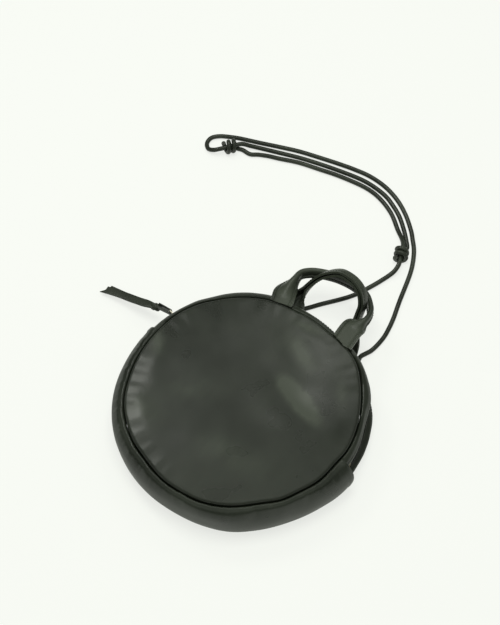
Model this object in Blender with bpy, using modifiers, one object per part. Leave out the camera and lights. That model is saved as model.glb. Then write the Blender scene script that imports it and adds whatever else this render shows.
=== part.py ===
"""Round, flat leather bag with a zipped top, two strap handles and a long adjustable lace.

It lies on its back panel. +Z runs through its depth, +Y points to the handles and the
middle of the zip, and the origin is the centre of the resting face.
"""

import math

import bmesh
import bpy
import numpy as np
from mathutils import Matrix, Vector

MM = 0.001
DEG = math.pi / 180

# Body of the bag
SEAM_RADIUS = 118 * MM  # circle of the front seam and of the back seam
DEPTH = 50 * MM  # resting face to the front panel's edge
CROWN = 5 * MM  # how far the filled front panel swells
LEATHER = 1.6 * MM
CLEARANCE = 0.3 * MM  # between pieces that touch
FLANGE = 7 * MM  # seam allowance turned inwards
EDGE_ROLL = 3.2 * MM  # the panels' rolled edge
SHOULDER_DROP = 2.4 * MM  # the gusset's shoulder lies this far inside the seam
SHOULDER_WIDTH = 3.4 * MM
BULGE_RADIUS = SEAM_RADIUS + 9.2 * MM  # outermost circle of the lower gusset
FLOOR_GAP = 1.0 * MM  # the lower gusset's clearance to the floor
LINING = 0.6 * MM

# Zip gusset and zip
ZIP_HALF_ANGLE = 86 * DEG  # from +Y to each end of the zip
ROW_HALF_ANGLE = 82.8 * DEG  # from +Y to each end of the rows of teeth and their stops
ZIP_HEIGHT = 26 * MM
STRIP_LEATHER = 1.3 * MM
STRIP_RADIUS = SEAM_RADIUS + 7 * MM
STRIP_EDGE_DIP = 0.8 * MM  # the strips draw in towards the zip
STRIP_FLOOR_GAP = 3.5 * MM
ZIP_WINDOW = 6.2 * MM  # zip's middle to each strip's folded edge
HEM_FOLD = 3.0 * MM  # outside of the two layers at the folded edge
HEM_DEPTH = 6 * MM
TAPE_THICKNESS = 0.6 * MM
TAPE_WIDTH = 13 * MM
TAPE_TUCK = 5 * MM  # how far the tape runs on under the lower gusset
TOOTH_PITCH = 2.5 * MM
TOOTH_THICKNESS = 0.85 * MM
TOOTH_REACH = 0.7 * MM  # past the zip's middle
TOOTH_HEIGHT = 2.5 * MM  # through the tape
TOOTH_HEAD = 1.8 * MM  # height of the tooth's narrower head
BEAD_NEAR = 1.3 * MM  # zip's middle to the near and far edges of the bead
BEAD_FAR = 2.7 * MM
BEAD_HEIGHT = 3 * MM

# Slider, its pull link and the thong
SLIDER_ANGLE = 72 * DEG  # from +Y towards -X
SLIDER_LENGTH = 11 * MM
SLIDER_PLATE = 1.1 * MM
SLIDER_GAP = 0.3 * MM  # running clearance round the teeth
SLIDER_WALL = 0.7 * MM
POST_HALF_WIDTH = 0.9 * MM
POST_LENGTH = 2.6 * MM
BRIDGE_LENGTH = 7.4 * MM
BRIDGE_WIDTH = 2.2 * MM
BRIDGE_WIRE = 1.2 * MM
BRIDGE_OPENING = 2.1 * MM
LINK_LENGTH = 16 * MM
LINK_WIDTH = 9.4 * MM
LINK_WIRE = 1.6 * MM
LINK_END_POWER = 0.57  # 1 would round its far end fully, and less squares it
LINK_REST_ANGLE = 3.5 * DEG  # from straight out, away from the closed teeth
THONG_TURN = 22 * DEG  # thong against the link
THONG_WIDTH = 9 * MM
THONG_LEATHER = 1.4 * MM
THONG_NECK = 8 * MM
THONG_KNOT = 9 * MM
THONG_TAIL = 62 * MM
THONG_TIP_CUT = 6 * MM
THONG_TIP_HEIGHT = 2.3 * MM  # middle of its tip above the floor
THONG_TAIL_GAP = 0.5 * MM
THONG_FAN = 1.2 * MM  # each tail's tip stands this far off to its side

# Handles
STRAP_WIDTH = 24 * MM
STRAP_THICKNESS = 2.0 * MM
STRAP_FOLD_RADIUS = 2 * MM
HANDLE_FEET = 78 * MM  # middle of one foot to middle of the other
FRONT_REACH = 72.3 * MM
FRONT_TILT = -9.5 * DEG
FRONT_HINGE_Y = SEAM_RADIUS - 8.5 * MM
FRONT_HINGE_Z = DEPTH + 1.5 * MM
FRONT_ROOT_OUT = 1.5 * MM  # hinge to the strap's own line
FRONT_ROOT_DROP = 1 * MM
BACK_REACH = 87 * MM
BACK_HINGE_Y = SEAM_RADIUS + 0.5 * MM
BACK_HINGE_Z = 1.4 * MM
# (start, length, turn) of each bend of the back strap: up from the floor, then through the front loop.
BACK_BENDS = ((0, 5 * MM, 34 * DEG), (33 * MM, 22 * MM, 31 * DEG))
ROOT_GAP = 0.4 * MM  # strap end to the seam

# Lace
LACE = 5 * MM
LACE_FLOOR_GAP = 0.3 * MM
LACE_STEP = 16 * MM  # longest stretch between two points of a lace
LACE_TURN = 26 * DEG  # sharpest turn between two of them
LACE_TUCK = 4.5 * MM  # flattened end in the seam
LACE_TAPER = 5 * MM  # from the flattened end to the full round
LACE_TUCK_SHARE = 0.5
KNOT_PITCH = 5.8 * MM
KNOT_TURNS = 2.3
KNOT_GAP = 0.7 * MM

ARC_STEP = 7.5 * DEG
ROUND = 2 * math.pi
CROWN_SHARES = ((0, 1), (0.45, 0.8), (0.8, 0.3))  # of the panel's radius and of its swell

# Middle of each lace from its seam to its knot, hand-placed along the floor, in
# millimetres: across, up the bag, and above the lace's height on the floor.
RIGHT_ROUTE = (
    (51, 106.5, 0), (51, 113, 0), (51, 119, 0), (50, 125, 0), (47.8, 130, 0),
    (46.8, 135.5, 0), (48.6, 141, 0), (50.8, 147, 0), (51.7, 154, 0), (51.8, 163, 0), (51, 172, 0),
    (48.2, 184.3, 0), (44.7, 195.8, 0), (40.6, 206.8, 0), (37, 216.8, 0), (32.8, 229.5, 0),
    (28.5, 242.4, 0), (23.8, 254.6, 0), (18, 266, 0), (10.5, 277.5, 0), (1.8, 287, 0),
    (-7.7, 296.4, 0), (-24, 308.8, 0), (-42.8, 318.8, 0), (-63.5, 324.6, 0), (-84.8, 325.4, 0),
    (-103, 322.3, 0), (-120.5, 317.8, 0), (-143, 311, 0), (-166, 303.5, 0), (-186, 295, 0),
    (-207, 285.5, 0), (-218.5, 280.5, 0), (-229, 275.9, 0), (-239, 270.5, 0), (-248.5, 264.2, 0),
    (-254.3, 256.5, 0), (-253.5, 248, 0), (-247.5, 242.6, 0.5), (-240.6, 243, 3.2), (-234.6, 247.4, 5.6),
    (-227.4, 257.6, 5.7), (-220.2, 267.8, 5.6), (-212.6, 274, 2), (-203.4, 279.4, 0), (-181.8, 288.2, 0),
    (-160.3, 296.8, 0), (-138, 304, 0), (-115, 310.4, 0), (-91, 315.8, 0), (-74, 316.9, 0),
    (-56, 315, 0), (-42, 309.9, 0), (-27.5, 302.4, 0), (-13.5, 291.6, 0), (-3.5, 282.4, 0),
)
LEFT_ROUTE = (
    (-58, 103.3, 0), (-58, 111, 0), (-58, 118, 0), (-57.4, 124, 0), (-54, 129.6, 0),
    (-48.5, 133.5, 0), (-42.5, 137, 0), (-37, 141.5, 0), (-31.6, 149, 0), (-25.2, 159.2, 0),
    (-18.9, 168.3, 0), (-12.6, 177.4, 0), (-6.9, 186.5, 0), (-2, 196.5, 0), (1.7, 207, 0),
    (4.8, 216.5, 0), (7.2, 225, 0), (9.4, 233, 0.4), (11.6, 241, 3), (10.6, 250.4, 5.6),
    (5.2, 261.2, 5.7), (-0.2, 272, 5.6), (-7.4, 279.6, 2.2), (-18.4, 287.3, 0), (-37, 300.2, 0),
    (-58.9, 308.4, 0), (-80.5, 310, 0), (-110.9, 304.6, 0), (-133.9, 298, 0), (-156.9, 291, 0),
    (-177.6, 281.6, 0), (-189, 276.8, 0), (-198.8, 271.4, 0), (-206.6, 266, 0),
)
# Each knot's middle on the other lace, and its way along that lace against the lace that
# ties it, in degrees from +X.
RIGHT_KNOT = (5.2, 261.2, 116.5)
LEFT_KNOT = (-227.4, 257.6, 55)
SPAN_POINTS = 8


def clear_scene():
    for found in list(bpy.data.objects):
        bpy.data.objects.remove(found)


def material(name, colour, roughness, metallic=0.0):
    made = bpy.data.materials.new(name)
    made.use_nodes = True
    shader = made.node_tree.nodes["Principled BSDF"]
    shader.inputs["Base Color"].default_value = (*colour, 1.0)
    shader.inputs["Roughness"].default_value = roughness
    shader.inputs["Metallic"].default_value = metallic
    return made


def add(name, mesh, finish, collection, parent=None):
    """A named object from a mesh, with its finish, in its collection."""
    made = bpy.data.objects.new(name, mesh)
    mesh.materials.append(finish)
    collection.objects.link(made)
    made.parent = parent
    return made


def add_cutter(name, mesh, collection, parent=None):
    made = bpy.data.objects.new(name, mesh)
    collection.objects.link(made)
    made.parent = parent
    made.hide_render = True
    made.display_type = "WIRE"
    return made


def empty(name, collection, parent=None, matrix=None):
    made = bpy.data.objects.new(name, None)
    collection.objects.link(made)
    made.parent = parent
    if matrix is not None:
        made.matrix_local = matrix
    return made


def boolean(piece, other, operation, solver="EXACT"):
    made = piece.modifiers.new(other.name, "BOOLEAN")
    made.operation = operation
    made.object = other
    made.solver = solver


def smooth_path(points, per_span):
    """Points along the smooth curve through the given ones."""
    given = np.array(points, float)
    ends = np.concatenate([[2 * given[0] - given[1]], given, [2 * given[-1] - given[-2]]])
    shares = np.linspace(0, 1, per_span, endpoint=False)[:, None]
    made = []
    for before, start, stop, after in zip(ends, ends[1:], ends[2:], ends[3:]):
        leave, arrive = (stop - before) / 2, (after - start) / 2
        made.append(
            start
            + leave * shares
            + (3 * (stop - start) - 2 * leave - arrive) * shares**2
            + (2 * (start - stop) + leave + arrive) * shares**3
        )
    return np.concatenate([*made, given[-1:]])


def profile_mesh(name, points):
    """A line of (radius, height) points in the XZ plane."""
    mesh = bpy.data.meshes.new(name)
    mesh.from_pydata([(r, 0.0, z) for r, z in points], [(i, i + 1) for i in range(len(points) - 1)], [])
    return mesh


def turned_shell(name, points, thickness, finish, collection, start=0.0, sweep=ROUND):
    """A sheet turned about Z from its outer profile, with its thickness inwards."""
    piece = add(name, profile_mesh(name, points), finish, collection)
    turn = piece.modifiers.new("turn", "SCREW")
    turn.angle = sweep
    turn.steps = turn.render_steps = max(2, round(sweep / ARC_STEP))
    turn.use_merge_vertices = sweep == ROUND
    turn.merge_threshold = 0.1 * MM
    turn.use_normal_calculate = False
    wall = piece.modifiers.new("wall", "SOLIDIFY")
    wall.thickness = thickness
    wall.offset = -1
    piece.rotation_euler.z = start
    return piece


def loft(name, rings, closed=False):
    """A closed mesh through rings of points, each ring a loop of the same count."""
    shape = bmesh.new()
    loops = [[shape.verts.new(point) for point in ring] for ring in rings]
    pairs = list(zip(loops, loops[1:] + loops[:1] if closed else loops[1:]))
    for near, far in pairs:
        for i in range(len(near)):
            j = (i + 1) % len(near)
            shape.faces.new((near[i], near[j], far[j], far[i]))
    if not closed:
        shape.faces.new(list(reversed(loops[0])))
        shape.faces.new(loops[-1])
    shape.normal_update()
    bmesh.ops.triangulate(shape, faces=[face for face in shape.faces if len(face.verts) > 4])
    bmesh.ops.recalc_face_normals(shape, faces=shape.faces)
    mesh = bpy.data.meshes.new(name)
    shape.to_mesh(mesh)
    shape.free()
    return mesh


def prism(name, outline, low, high):
    """An outline of (t, w) points, thickened from low to high along the radius."""
    rings = [[(level, t, w) for t, w in outline] for level in (low, high)]
    return loft(name, rings)


def tube(name, points, diameter, finish, collection, shares):
    """A round cord along points, with filled ends; shares scale its diameter at each point."""
    line = bpy.data.curves.new(name, "CURVE")
    line.dimensions = "3D"
    line.bevel_depth = diameter / 2
    line.bevel_resolution = 2
    line.use_fill_caps = True
    spline = line.splines.new("POLY")
    spline.points.add(len(points) - 1)
    for place, point, share in zip(spline.points, points, shares):
        place.co = (*point, 1.0)
        place.radius = share
    line.materials.append(finish)
    made = bpy.data.objects.new(name, line)
    collection.objects.link(made)


def shoulder(seam, top, inwards, bulge):
    """Outer line of a gusset from its turned flange over its shoulder, towards the bulge.

    top is the height of the shoulder, and inwards is -1 at the front and 1 at the back.
    """
    return [
        (seam, top + inwards * FLANGE),
        (seam, top + inwards * EDGE_ROLL / 2),
        (seam + SHOULDER_WIDTH / 3, top + inwards * EDGE_ROLL / 8),
        (seam + SHOULDER_WIDTH, top),
        (seam + (bulge - seam) * 0.84, top + inwards * EDGE_ROLL * 1.2),
    ]


def crowned(radius, edge):
    """The swelling middle of a front panel, as (radius, height)."""
    return [(radius * out, edge + CROWN * up) for out, up in CROWN_SHARES]


def make_panels(finishes, parts):
    rim = SEAM_RADIUS - CLEARANCE / 2
    corner = EDGE_ROLL * 0.3
    front = crowned(rim, DEPTH)
    front += [
        (rim - EDGE_ROLL, DEPTH),
        (rim - corner, DEPTH - corner),
        (rim, DEPTH - EDGE_ROLL),
        (rim, DEPTH - EDGE_ROLL - FLANGE),
    ]
    turned_shell("front_panel", front, LEATHER, finishes["leather"], parts)
    back = [(rim, EDGE_ROLL + FLANGE), (rim, EDGE_ROLL), (rim - corner, corner), (rim - EDGE_ROLL, 0), (0, 0)]
    turned_shell("back_panel", back, LEATHER, finishes["leather"], parts)


def make_linings(finishes, parts):
    inner = LEATHER + CLEARANCE
    rim = SEAM_RADIUS - CLEARANCE / 2
    edge = rim - EDGE_ROLL - inner
    front = crowned(rim, DEPTH - inner) + [(edge, DEPTH - inner - CLEARANCE)]
    turned_shell("lining_front", front, LINING, finishes["lining"], parts)
    turned_shell("lining_back", [(edge, inner), (0, inner)], LINING, finishes["lining"], parts)
    wall = BULGE_RADIUS - LEATHER - CLEARANCE
    band = [
        (wall - EDGE_ROLL, DEPTH - 3 * EDGE_ROLL),
        (wall - CLEARANCE, DEPTH * 0.6),
        (wall - CLEARANCE, DEPTH * 0.36),
        (wall - EDGE_ROLL, 3 * EDGE_ROLL),
    ]
    tucked = ZIP_HALF_ANGLE + (TAPE_TUCK + HEM_DEPTH) / SEAM_RADIUS
    turned_shell(
        "lining_gusset", band, LINING, finishes["lining"], parts,
        math.pi / 2 + tucked, ROUND - 2 * tucked,
    )


def make_gussets(finishes, parts):
    seam = SEAM_RADIUS + CLEARANCE / 2
    lower = shoulder(seam, DEPTH - SHOULDER_DROP, -1, BULGE_RADIUS)
    base = shoulder(seam, FLOOR_GAP, 1, BULGE_RADIUS)
    middle = [(BULGE_RADIUS, DEPTH * 0.6), (BULGE_RADIUS, DEPTH * 0.36)]
    turned_shell(
        "lower_gusset", lower + middle + base[::-1], LEATHER, finishes["leather"], parts,
        math.pi / 2 + ZIP_HALF_ANGLE, ROUND - 2 * ZIP_HALF_ANGLE,
    )
    gap = CLEARANCE / SEAM_RADIUS
    edge = STRIP_RADIUS - STRIP_EDGE_DIP
    for name, side, top in (("zip_gusset_front", -1, DEPTH - SHOULDER_DROP), ("zip_gusset_back", 1, STRIP_FLOOR_GAP)):
        fold = ZIP_HEIGHT - side * ZIP_WINDOW
        line = shoulder(seam, top, side, STRIP_RADIUS)
        line += [
            (STRIP_RADIUS, (line[-1][1] + fold) / 2),
            (edge, fold - side * HEM_FOLD / 3),
            (edge - HEM_FOLD / 4, fold),
            (edge - HEM_FOLD * 3 / 4, fold),
            (edge - HEM_FOLD, fold - side * HEM_FOLD / 3),
            (edge - HEM_FOLD, fold - side * HEM_DEPTH),
        ]
        turned_shell(
            name, line if side < 0 else line[::-1], STRIP_LEATHER, finishes["leather"], parts,
            math.pi / 2 - ZIP_HALF_ANGLE + gap, 2 * (ZIP_HALF_ANGLE - gap),
        )


def tape_middle():
    """Radius of the zip's tape, just inside the strips' hems."""
    return STRIP_RADIUS - STRIP_EDGE_DIP - HEM_FOLD - 1.5 * CLEARANCE - TAPE_THICKNESS / 2


def post_spread():
    """How far each row of teeth stands off round the slider's post."""
    return TOOTH_REACH + POST_HALF_WIDTH + SLIDER_GAP


def spread_at(angle):
    """How far a row of teeth has parted at this angle from +Y towards -X."""
    throat = SLIDER_ANGLE - SLIDER_LENGTH * 0.25 / tape_middle()
    full = SLIDER_ANGLE + SLIDER_LENGTH * 0.2 / tape_middle()
    share = min(1.0, max(0.0, (angle - throat) / (full - throat)))
    return post_spread() * share * share * (3 - 2 * share)


def around(angle, out, level):
    """A point of the zip: angle from +Y towards -X, out from the tape, level from the zip's middle."""
    radius = tape_middle() + out
    return (-radius * math.sin(angle), radius * math.cos(angle), ZIP_HEIGHT + level)


def zip_angles():
    """Angles along the tape, closer together where the rows part."""
    tuck = ZIP_HALF_ANGLE + TAPE_TUCK / tape_middle()
    near = SLIDER_LENGTH / tape_middle()
    coarse = np.arange(-tuck, SLIDER_ANGLE - near, ARC_STEP)
    fine = np.linspace(SLIDER_ANGLE - near / 2, SLIDER_ANGLE + near / 2, 7)
    return [*coarse, *fine, SLIDER_ANGLE + 2 * near, tuck]


def make_tooth(angle, side, shift):
    """One tooth: a block that narrows from the bead to its head."""
    half_angle = TOOTH_THICKNESS / 2 / tape_middle()
    root = (BEAD_NEAR + BEAD_FAR) / 2
    corners = ((-half_angle, -1), (half_angle, -1), (half_angle, 1), (-half_angle, 1))
    return [
        [around(angle + turn, out * height / 2, side * (reach + shift)) for turn, out in corners]
        for reach, height in ((root, TOOTH_HEIGHT), (-TOOTH_REACH, TOOTH_HEAD))
    ]


def make_chain(name, side, finishes, parts, cutters):
    """One side of the zip: the tape with its beaded edge, and its row of teeth, in one piece."""
    bead, flat = BEAD_HEIGHT / 2, TAPE_THICKNESS / 2
    rings = []
    for angle in zip_angles():
        near, far = BEAD_NEAR + spread_at(angle), BEAD_FAR + spread_at(angle)
        section = (
            (-bead, near), (bead, near), (bead, far), (flat, far),
            (flat, TAPE_WIDTH), (-flat, TAPE_WIDTH), (-flat, far), (-bead, far),
        )
        rings.append([around(angle, out, side * level) for out, level in section])
    tape = add(name, loft(name, rings), finishes["tape"], parts)
    pitch = TOOTH_PITCH / tape_middle()
    angle = -ROW_HALF_ANGLE + (2.5 if side > 0 else 2) * pitch
    shape = bmesh.new()
    while angle < ROW_HALF_ANGLE - 2 * pitch:
        tooth = loft("tooth", make_tooth(angle, side, spread_at(angle)))
        shape.from_mesh(tooth)
        bpy.data.meshes.remove(tooth)
        angle += pitch
    row = bpy.data.meshes.new(name + "_teeth")
    shape.to_mesh(row)
    shape.free()
    row.materials.append(finishes["teeth"])
    boolean(tape, add_cutter(name + "_teeth", row, cutters), "UNION")


def make_stops(finishes, parts):
    """The stops that end the chain: one on each bead past the slider, one across both at the other end."""
    pitch = TOOTH_PITCH / tape_middle()
    half_angle = TOOTH_THICKNESS / tape_middle()
    wall = TAPE_THICKNESS
    grip = BEAD_HEIGHT / 2 + CLEARANCE
    near, far = BEAD_NEAR - CLEARANCE, BEAD_FAR
    clip = [
        (grip + wall, near - wall), (grip + wall, far), (grip, far), (grip, near),
        (-grip, near), (-grip, far), (-grip - wall, far), (-grip - wall, near - wall),
    ]
    last = ROW_HALF_ANGLE - pitch
    for name, side in (("zip_top_stop_front", 1), ("zip_top_stop_back", -1)):
        rings = [
            [around(angle, out, side * (level + post_spread())) for out, level in clip]
            for angle in (last - half_angle, last + half_angle)
        ]
        add(name, loft(name, rings), finishes["teeth"], parts)
    side, low = BEAD_FAR + CLEARANCE, TAPE_THICKNESS / 2 + CLEARANCE
    staple = [
        (grip + wall, -side - wall), (low, -side - wall), (low, -side), (grip, -side),
        (grip, side), (low, side), (low, side + wall), (grip + wall, side + wall),
    ]
    rings = [
        [around(angle, out, level) for out, level in staple]
        for angle in (-last - half_angle, -last + half_angle)
    ]
    add("zip_bottom_stop", loft("zip_bottom_stop", rings), finishes["teeth"], parts)


def slider_levels():
    """Radii of the slider's channel: its inner face, the tape's two faces and its outer face."""
    half = BEAD_HEIGHT / 2 + SLIDER_GAP
    flat = TAPE_THICKNESS / 2 + SLIDER_GAP
    return tape_middle() - half, tape_middle() - flat, tape_middle() + flat, tape_middle() + half


def slider_outline(inset=0.0):
    """Half outline of the slider's plates, narrow at the closed teeth and wide round its post."""
    narrow = BEAD_FAR + SLIDER_GAP + SLIDER_WALL - inset
    wide = narrow + post_spread()
    half = SLIDER_LENGTH / 2
    return [(-half, narrow), (-half * 0.5, narrow), (half * 0.35, wide), (half * 0.8, wide), (half, wide * 0.72)]


def mirrored(outline):
    return outline + [(t, -w) for t, w in reversed(outline)]


def make_slider(finishes, parts, cutters, pivot):
    floor, tape_low, tape_high, roof = slider_levels()
    overlap = CLEARANCE
    whole = mirrored(slider_outline())
    body = add("slider_body", prism("slider_body", whole, roof, roof + SLIDER_PLATE), finishes["brass"], parts, pivot)
    pieces = [prism("slider_inner_plate", whole, floor - SLIDER_PLATE, floor)]
    outer, inner = slider_outline()[:4], slider_outline(SLIDER_WALL)[:4]
    for side in (1, -1):
        wall = [(t, side * w) for t, w in outer] + [(t, side * w) for t, w in reversed(inner)]
        pieces.append(prism("slider_outer_wall", wall, tape_high, roof + overlap))
        pieces.append(prism("slider_inner_wall", wall, floor - overlap, tape_low))
    half = SLIDER_LENGTH / 2
    post = [
        (half * 0.3, 0.3 * POST_HALF_WIDTH), (half * 0.3 + POST_LENGTH / 2, POST_HALF_WIDTH),
        (half * 0.3 + POST_LENGTH, POST_HALF_WIDTH * 0.8),
    ]
    pieces.append(prism("slider_post", mirrored(post), floor - overlap, roof + overlap))
    arch_top = BRIDGE_OPENING + BRIDGE_WIRE
    base = roof + SLIDER_PLATE
    reach = BRIDGE_LENGTH / 2
    arch = [
        (-reach, -overlap), (-reach, arch_top * 0.7), (-reach * 0.7, arch_top), (reach * 0.7, arch_top),
        (reach, arch_top * 0.7), (reach, -overlap), (reach - BRIDGE_WIRE, -overlap),
        (reach - BRIDGE_WIRE, BRIDGE_OPENING * 0.7), (reach * 0.6, BRIDGE_OPENING),
        (-reach * 0.6, BRIDGE_OPENING), (-reach + BRIDGE_WIRE, BRIDGE_OPENING * 0.7), (-reach + BRIDGE_WIRE, -overlap),
    ]
    rings = [[(base + up, t, side * BRIDGE_WIDTH / 2) for t, up in arch] for side in (-1, 1)]
    pieces.append(loft("slider_bridge", rings))
    for mesh in pieces:
        boolean(body, add_cutter(mesh.name, mesh, cutters, pivot), "UNION")


def link_hinge():
    """Radius of the pull link's hinge, under the slider's bridge."""
    return slider_levels()[3] + SLIDER_PLATE + BRIDGE_OPENING / 2


def make_link(finishes, parts, pivot):
    """The wire link: an oval that passes under the bridge, with its far end out."""
    half_width = (LINK_WIDTH - LINK_WIRE) / 2
    radius = half_width / 2
    run = LINK_LENGTH - LINK_WIRE - radius
    count = 6
    line = [(0.0, -half_width + LINK_WIRE / 2), (0.0, half_width - LINK_WIRE / 2), (LINK_WIRE / 2, half_width)]
    line.append((run, half_width))
    for i in range(1, count):
        turn = math.pi * i / count
        out, across = math.sin(turn) ** LINK_END_POWER, abs(math.cos(turn)) ** LINK_END_POWER
        line.append((run + radius * out, math.copysign(half_width * across, math.cos(turn))))
    line += [(run, -half_width), (LINK_WIRE / 2, -half_width)]
    sides = 6
    rings = []
    for i, (out, across) in enumerate(line):
        before, after = line[i - 1], line[(i + 1) % len(line)]
        along = Vector((after[0] - before[0], 0, after[1] - before[1])).normalized()
        side = Vector((0, 1, 0)).cross(along)
        centre = Vector((out, 0, across))
        rings.append([
            centre + (side * math.cos(ROUND * k / sides) + Vector((0, 1, 0)) * math.sin(ROUND * k / sides)) * LINK_WIRE / 2
            for k in range(sides)
        ])
    add("pull_link", loft("pull_link", rings, closed=True), finishes["brass"], parts, pivot)


def thong_drop(x, start, end):
    """How far the thong has sunk at x: it leaves the link level and settles to the floor."""
    share = min(1.0, max(0.0, (x - start) / (end - start)))
    return (ZIP_HEIGHT - THONG_TIP_HEIGHT) * share * share * (3 - 2 * share)


def make_thong(finishes, parts, cutters, pivot):
    """A leather thong looped through the link, knotted, with two flat tails cut at a slant.

    Its own x runs along it, y across it and z upwards.
    """
    inner = LINK_WIRE / 2 + CLEARANCE
    outer = inner + THONG_LEATHER
    width = LINK_WIDTH - 2 * LINK_WIRE - 4 * CLEARANCE
    knot = inner + THONG_NECK
    end = knot + THONG_KNOT + THONG_TAIL
    seat = knot + THONG_LEATHER
    loop = [
        (seat, outer), (0, outer), (-outer * 0.7, outer * 0.7), (-outer, 0), (-outer * 0.7, -outer * 0.7),
        (0, -outer), (seat, -outer), (seat, -inner), (0, -inner), (-inner * 0.7, -inner * 0.7),
        (-inner, 0), (-inner * 0.7, inner * 0.7), (0, inner), (seat, inner),
    ]
    rings = [[(x, y, level) for x, y in loop] for level in (-width / 2, width / 2)]
    body = add("pull_thong", loft("pull_thong", rings), finishes["leather"], parts, pivot)
    rings = []
    for along, across, through in ((0, 0.6, 0.72), (0.25, 0.98, 1), (0.55, 1, 1), (0.85, 0.8, 0.8), (1, 0.5, 0.28)):
        x = knot + along * THONG_KNOT
        drop = thong_drop(x, knot, end)
        rings.append([
            (
                x,
                math.cos(ROUND * k / 10) * THONG_WIDTH * 0.6 * across,
                math.sin(ROUND * k / 10) * THONG_WIDTH * 0.45 * through - drop,
            )
            for k in range(10)
        ])
    boolean(body, add_cutter("thong_knot", loft("thong_knot", rings), cutters, pivot), "UNION", "MANIFOLD")
    start = knot + THONG_KNOT * 0.45
    for name, side in (("thong_tail_upper", 1), ("thong_tail_lower", -1)):
        rings = []
        for share in (0, 0.2, 0.4, 0.6, 0.8, 1):
            x = start + share * (end - start)
            low = side * THONG_TAIL_GAP / 2 - (THONG_LEATHER if side < 0 else 0) - thong_drop(x, knot, end)
            sway = side * THONG_FAN * share * share
            cut = THONG_TIP_CUT * (share == 1)
            half = THONG_WIDTH / 2 * (0.75 + 0.25 * share)
            rings.append([
                (x - cut, -half + sway, low), (x, half + sway, low),
                (x, half + sway, low + THONG_LEATHER), (x - cut, -half + sway, low + THONG_LEATHER),
            ])
        boolean(body, add_cutter(name, loft(name, rings), cutters, pivot), "UNION", "MANIFOLD")


def strap_section(fold):
    """Closed outline of the strap's cross section: flat at 0, folded lengthwise at 1.

    The first value runs across the strap and the second towards its ridge.
    """
    turn = math.pi * max(fold, 0.01)
    bend = STRAP_FOLD_RADIUS * math.pi
    radius = bend / turn
    leg = (STRAP_WIDTH - bend) / 2
    edge = turn / 2
    half = [(radius * math.sin(edge) + leg * math.cos(edge), radius * (math.cos(edge) - 1) - leg * math.sin(edge), edge)]
    for angle in (edge, edge / 2, 0.0):
        half.append((radius * math.sin(angle), radius * (math.cos(angle) - 1), angle))
    middle = half + [(-x, y, -angle) for x, y, angle in reversed(half[:-1])]
    rise = sum(y for _, y, _ in middle) / len(middle)
    outline = []
    for side in (1, -1):
        off = side * STRAP_THICKNESS / 2
        for x, y, angle in middle if side > 0 else reversed(middle):
            outline.append((x + off * math.sin(angle), y - rise + off * math.cos(angle)))
    return outline


def make_handle(name, reach, strap_shares, side_line, ridge, finishes, parts, cutters, pivot):
    """A strap that is flat at its two sewn feet and folded lengthwise along its grip.

    side_line turns a distance along into (out, up, slope) in the pivot's frame. ridge is 1
    where the fold faces the front and -1 where it faces the back.
    """
    half = HANDLE_FEET / 2
    line = smooth_path([(across * half, along * reach, fold) for across, along, fold in strap_shares], 2)
    rings = []
    for i, (across, along, fold) in enumerate(line):
        before, after = line[max(i - 1, 0)], line[min(i + 1, len(line) - 1)]
        step = Vector((after[0] - before[0], after[1] - before[1])).normalized()
        ring = []
        for x, y in strap_section(min(1.0, fold)):
            out, up, slope = side_line(along + step[0] * x)
            lift = ridge * y
            ring.append((across - step[1] * x, out - lift * math.sin(slope), up + lift * math.cos(slope)))
        rings.append(ring)
    body = add(name, loft(name, rings), finishes["leather"], parts, pivot)
    seam = SEAM_RADIUS + ROOT_GAP
    trim = bmesh.new()
    bmesh.ops.create_cone(trim, cap_ends=True, segments=96, radius1=seam, radius2=seam, depth=4 * DEPTH)
    mesh = bpy.data.meshes.new(name + "_trim")
    trim.to_mesh(mesh)
    trim.free()
    boolean(body, add_cutter(name + "_trim", mesh, cutters, pivot.parent), "DIFFERENCE")


# (across, along, fold) of each strap from its left foot to its right foot: across as a share
# of half the feet's spacing, along as a share of the reach, and fold as in strap_section.
FRONT_STRAP_SHARES = (
    (-1.02, -0.02, 0.0), (-1.08, 0.08, 0.0), (-1.18, 0.2, 0.2), (-1.24, 0.34, 0.5), (-1.27, 0.49, 0.85),
    (-1.27, 0.64, 1.0), (-1.1, 0.77, 1.0), (-0.83, 0.87, 1.0), (-0.51, 0.95, 1.0), (-0.2, 0.99, 1.0),
    (0.08, 1.0, 1.0), (0.32, 0.985, 1.0), (0.53, 0.945, 1.0), (0.73, 0.86, 1.0), (0.88, 0.77, 1.0),
    (0.95, 0.67, 1.0), (0.97, 0.58, 1.0), (0.95, 0.52, 0.75), (0.9, 0.44, 0.3), (0.88, 0.35, 0.04),
    (0.89, 0.25, 0.0), (0.94, 0.08, 0.0), (0.96, -0.02, 0.0),
)
BACK_STRAP_SHARES = (
    (-1.0, -0.152, 0.0), (-1.01, 0.075, 0.0), (-1.075, 0.22, 0.08), (-1.09, 0.335, 0.4), (-1.045, 0.425, 0.8),
    (-1.005, 0.52, 1.0), (-0.89, 0.66, 1.0), (-0.7, 0.807, 1.0), (-0.46, 0.92, 1.0), (-0.245, 0.984, 1.0),
    (-0.02, 1.0, 1.0), (0.196, 0.99, 1.0), (0.396, 0.95, 1.0), (0.548, 0.881, 1.0), (0.65, 0.772, 1.0),
    (0.66, 0.66, 1.0), (0.666, 0.55, 1.0), (0.7, 0.453, 0.85), (0.75, 0.335, 0.5), (0.81, 0.2, 0.12),
    (0.88, 0.057, 0.0), (0.9, -0.152, 0.0),
)


def front_side(along):
    """The front handle leans straight out from its seam."""
    return FRONT_ROOT_OUT + along * math.cos(FRONT_TILT), along * math.sin(FRONT_TILT) - FRONT_ROOT_DROP, FRONT_TILT


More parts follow.
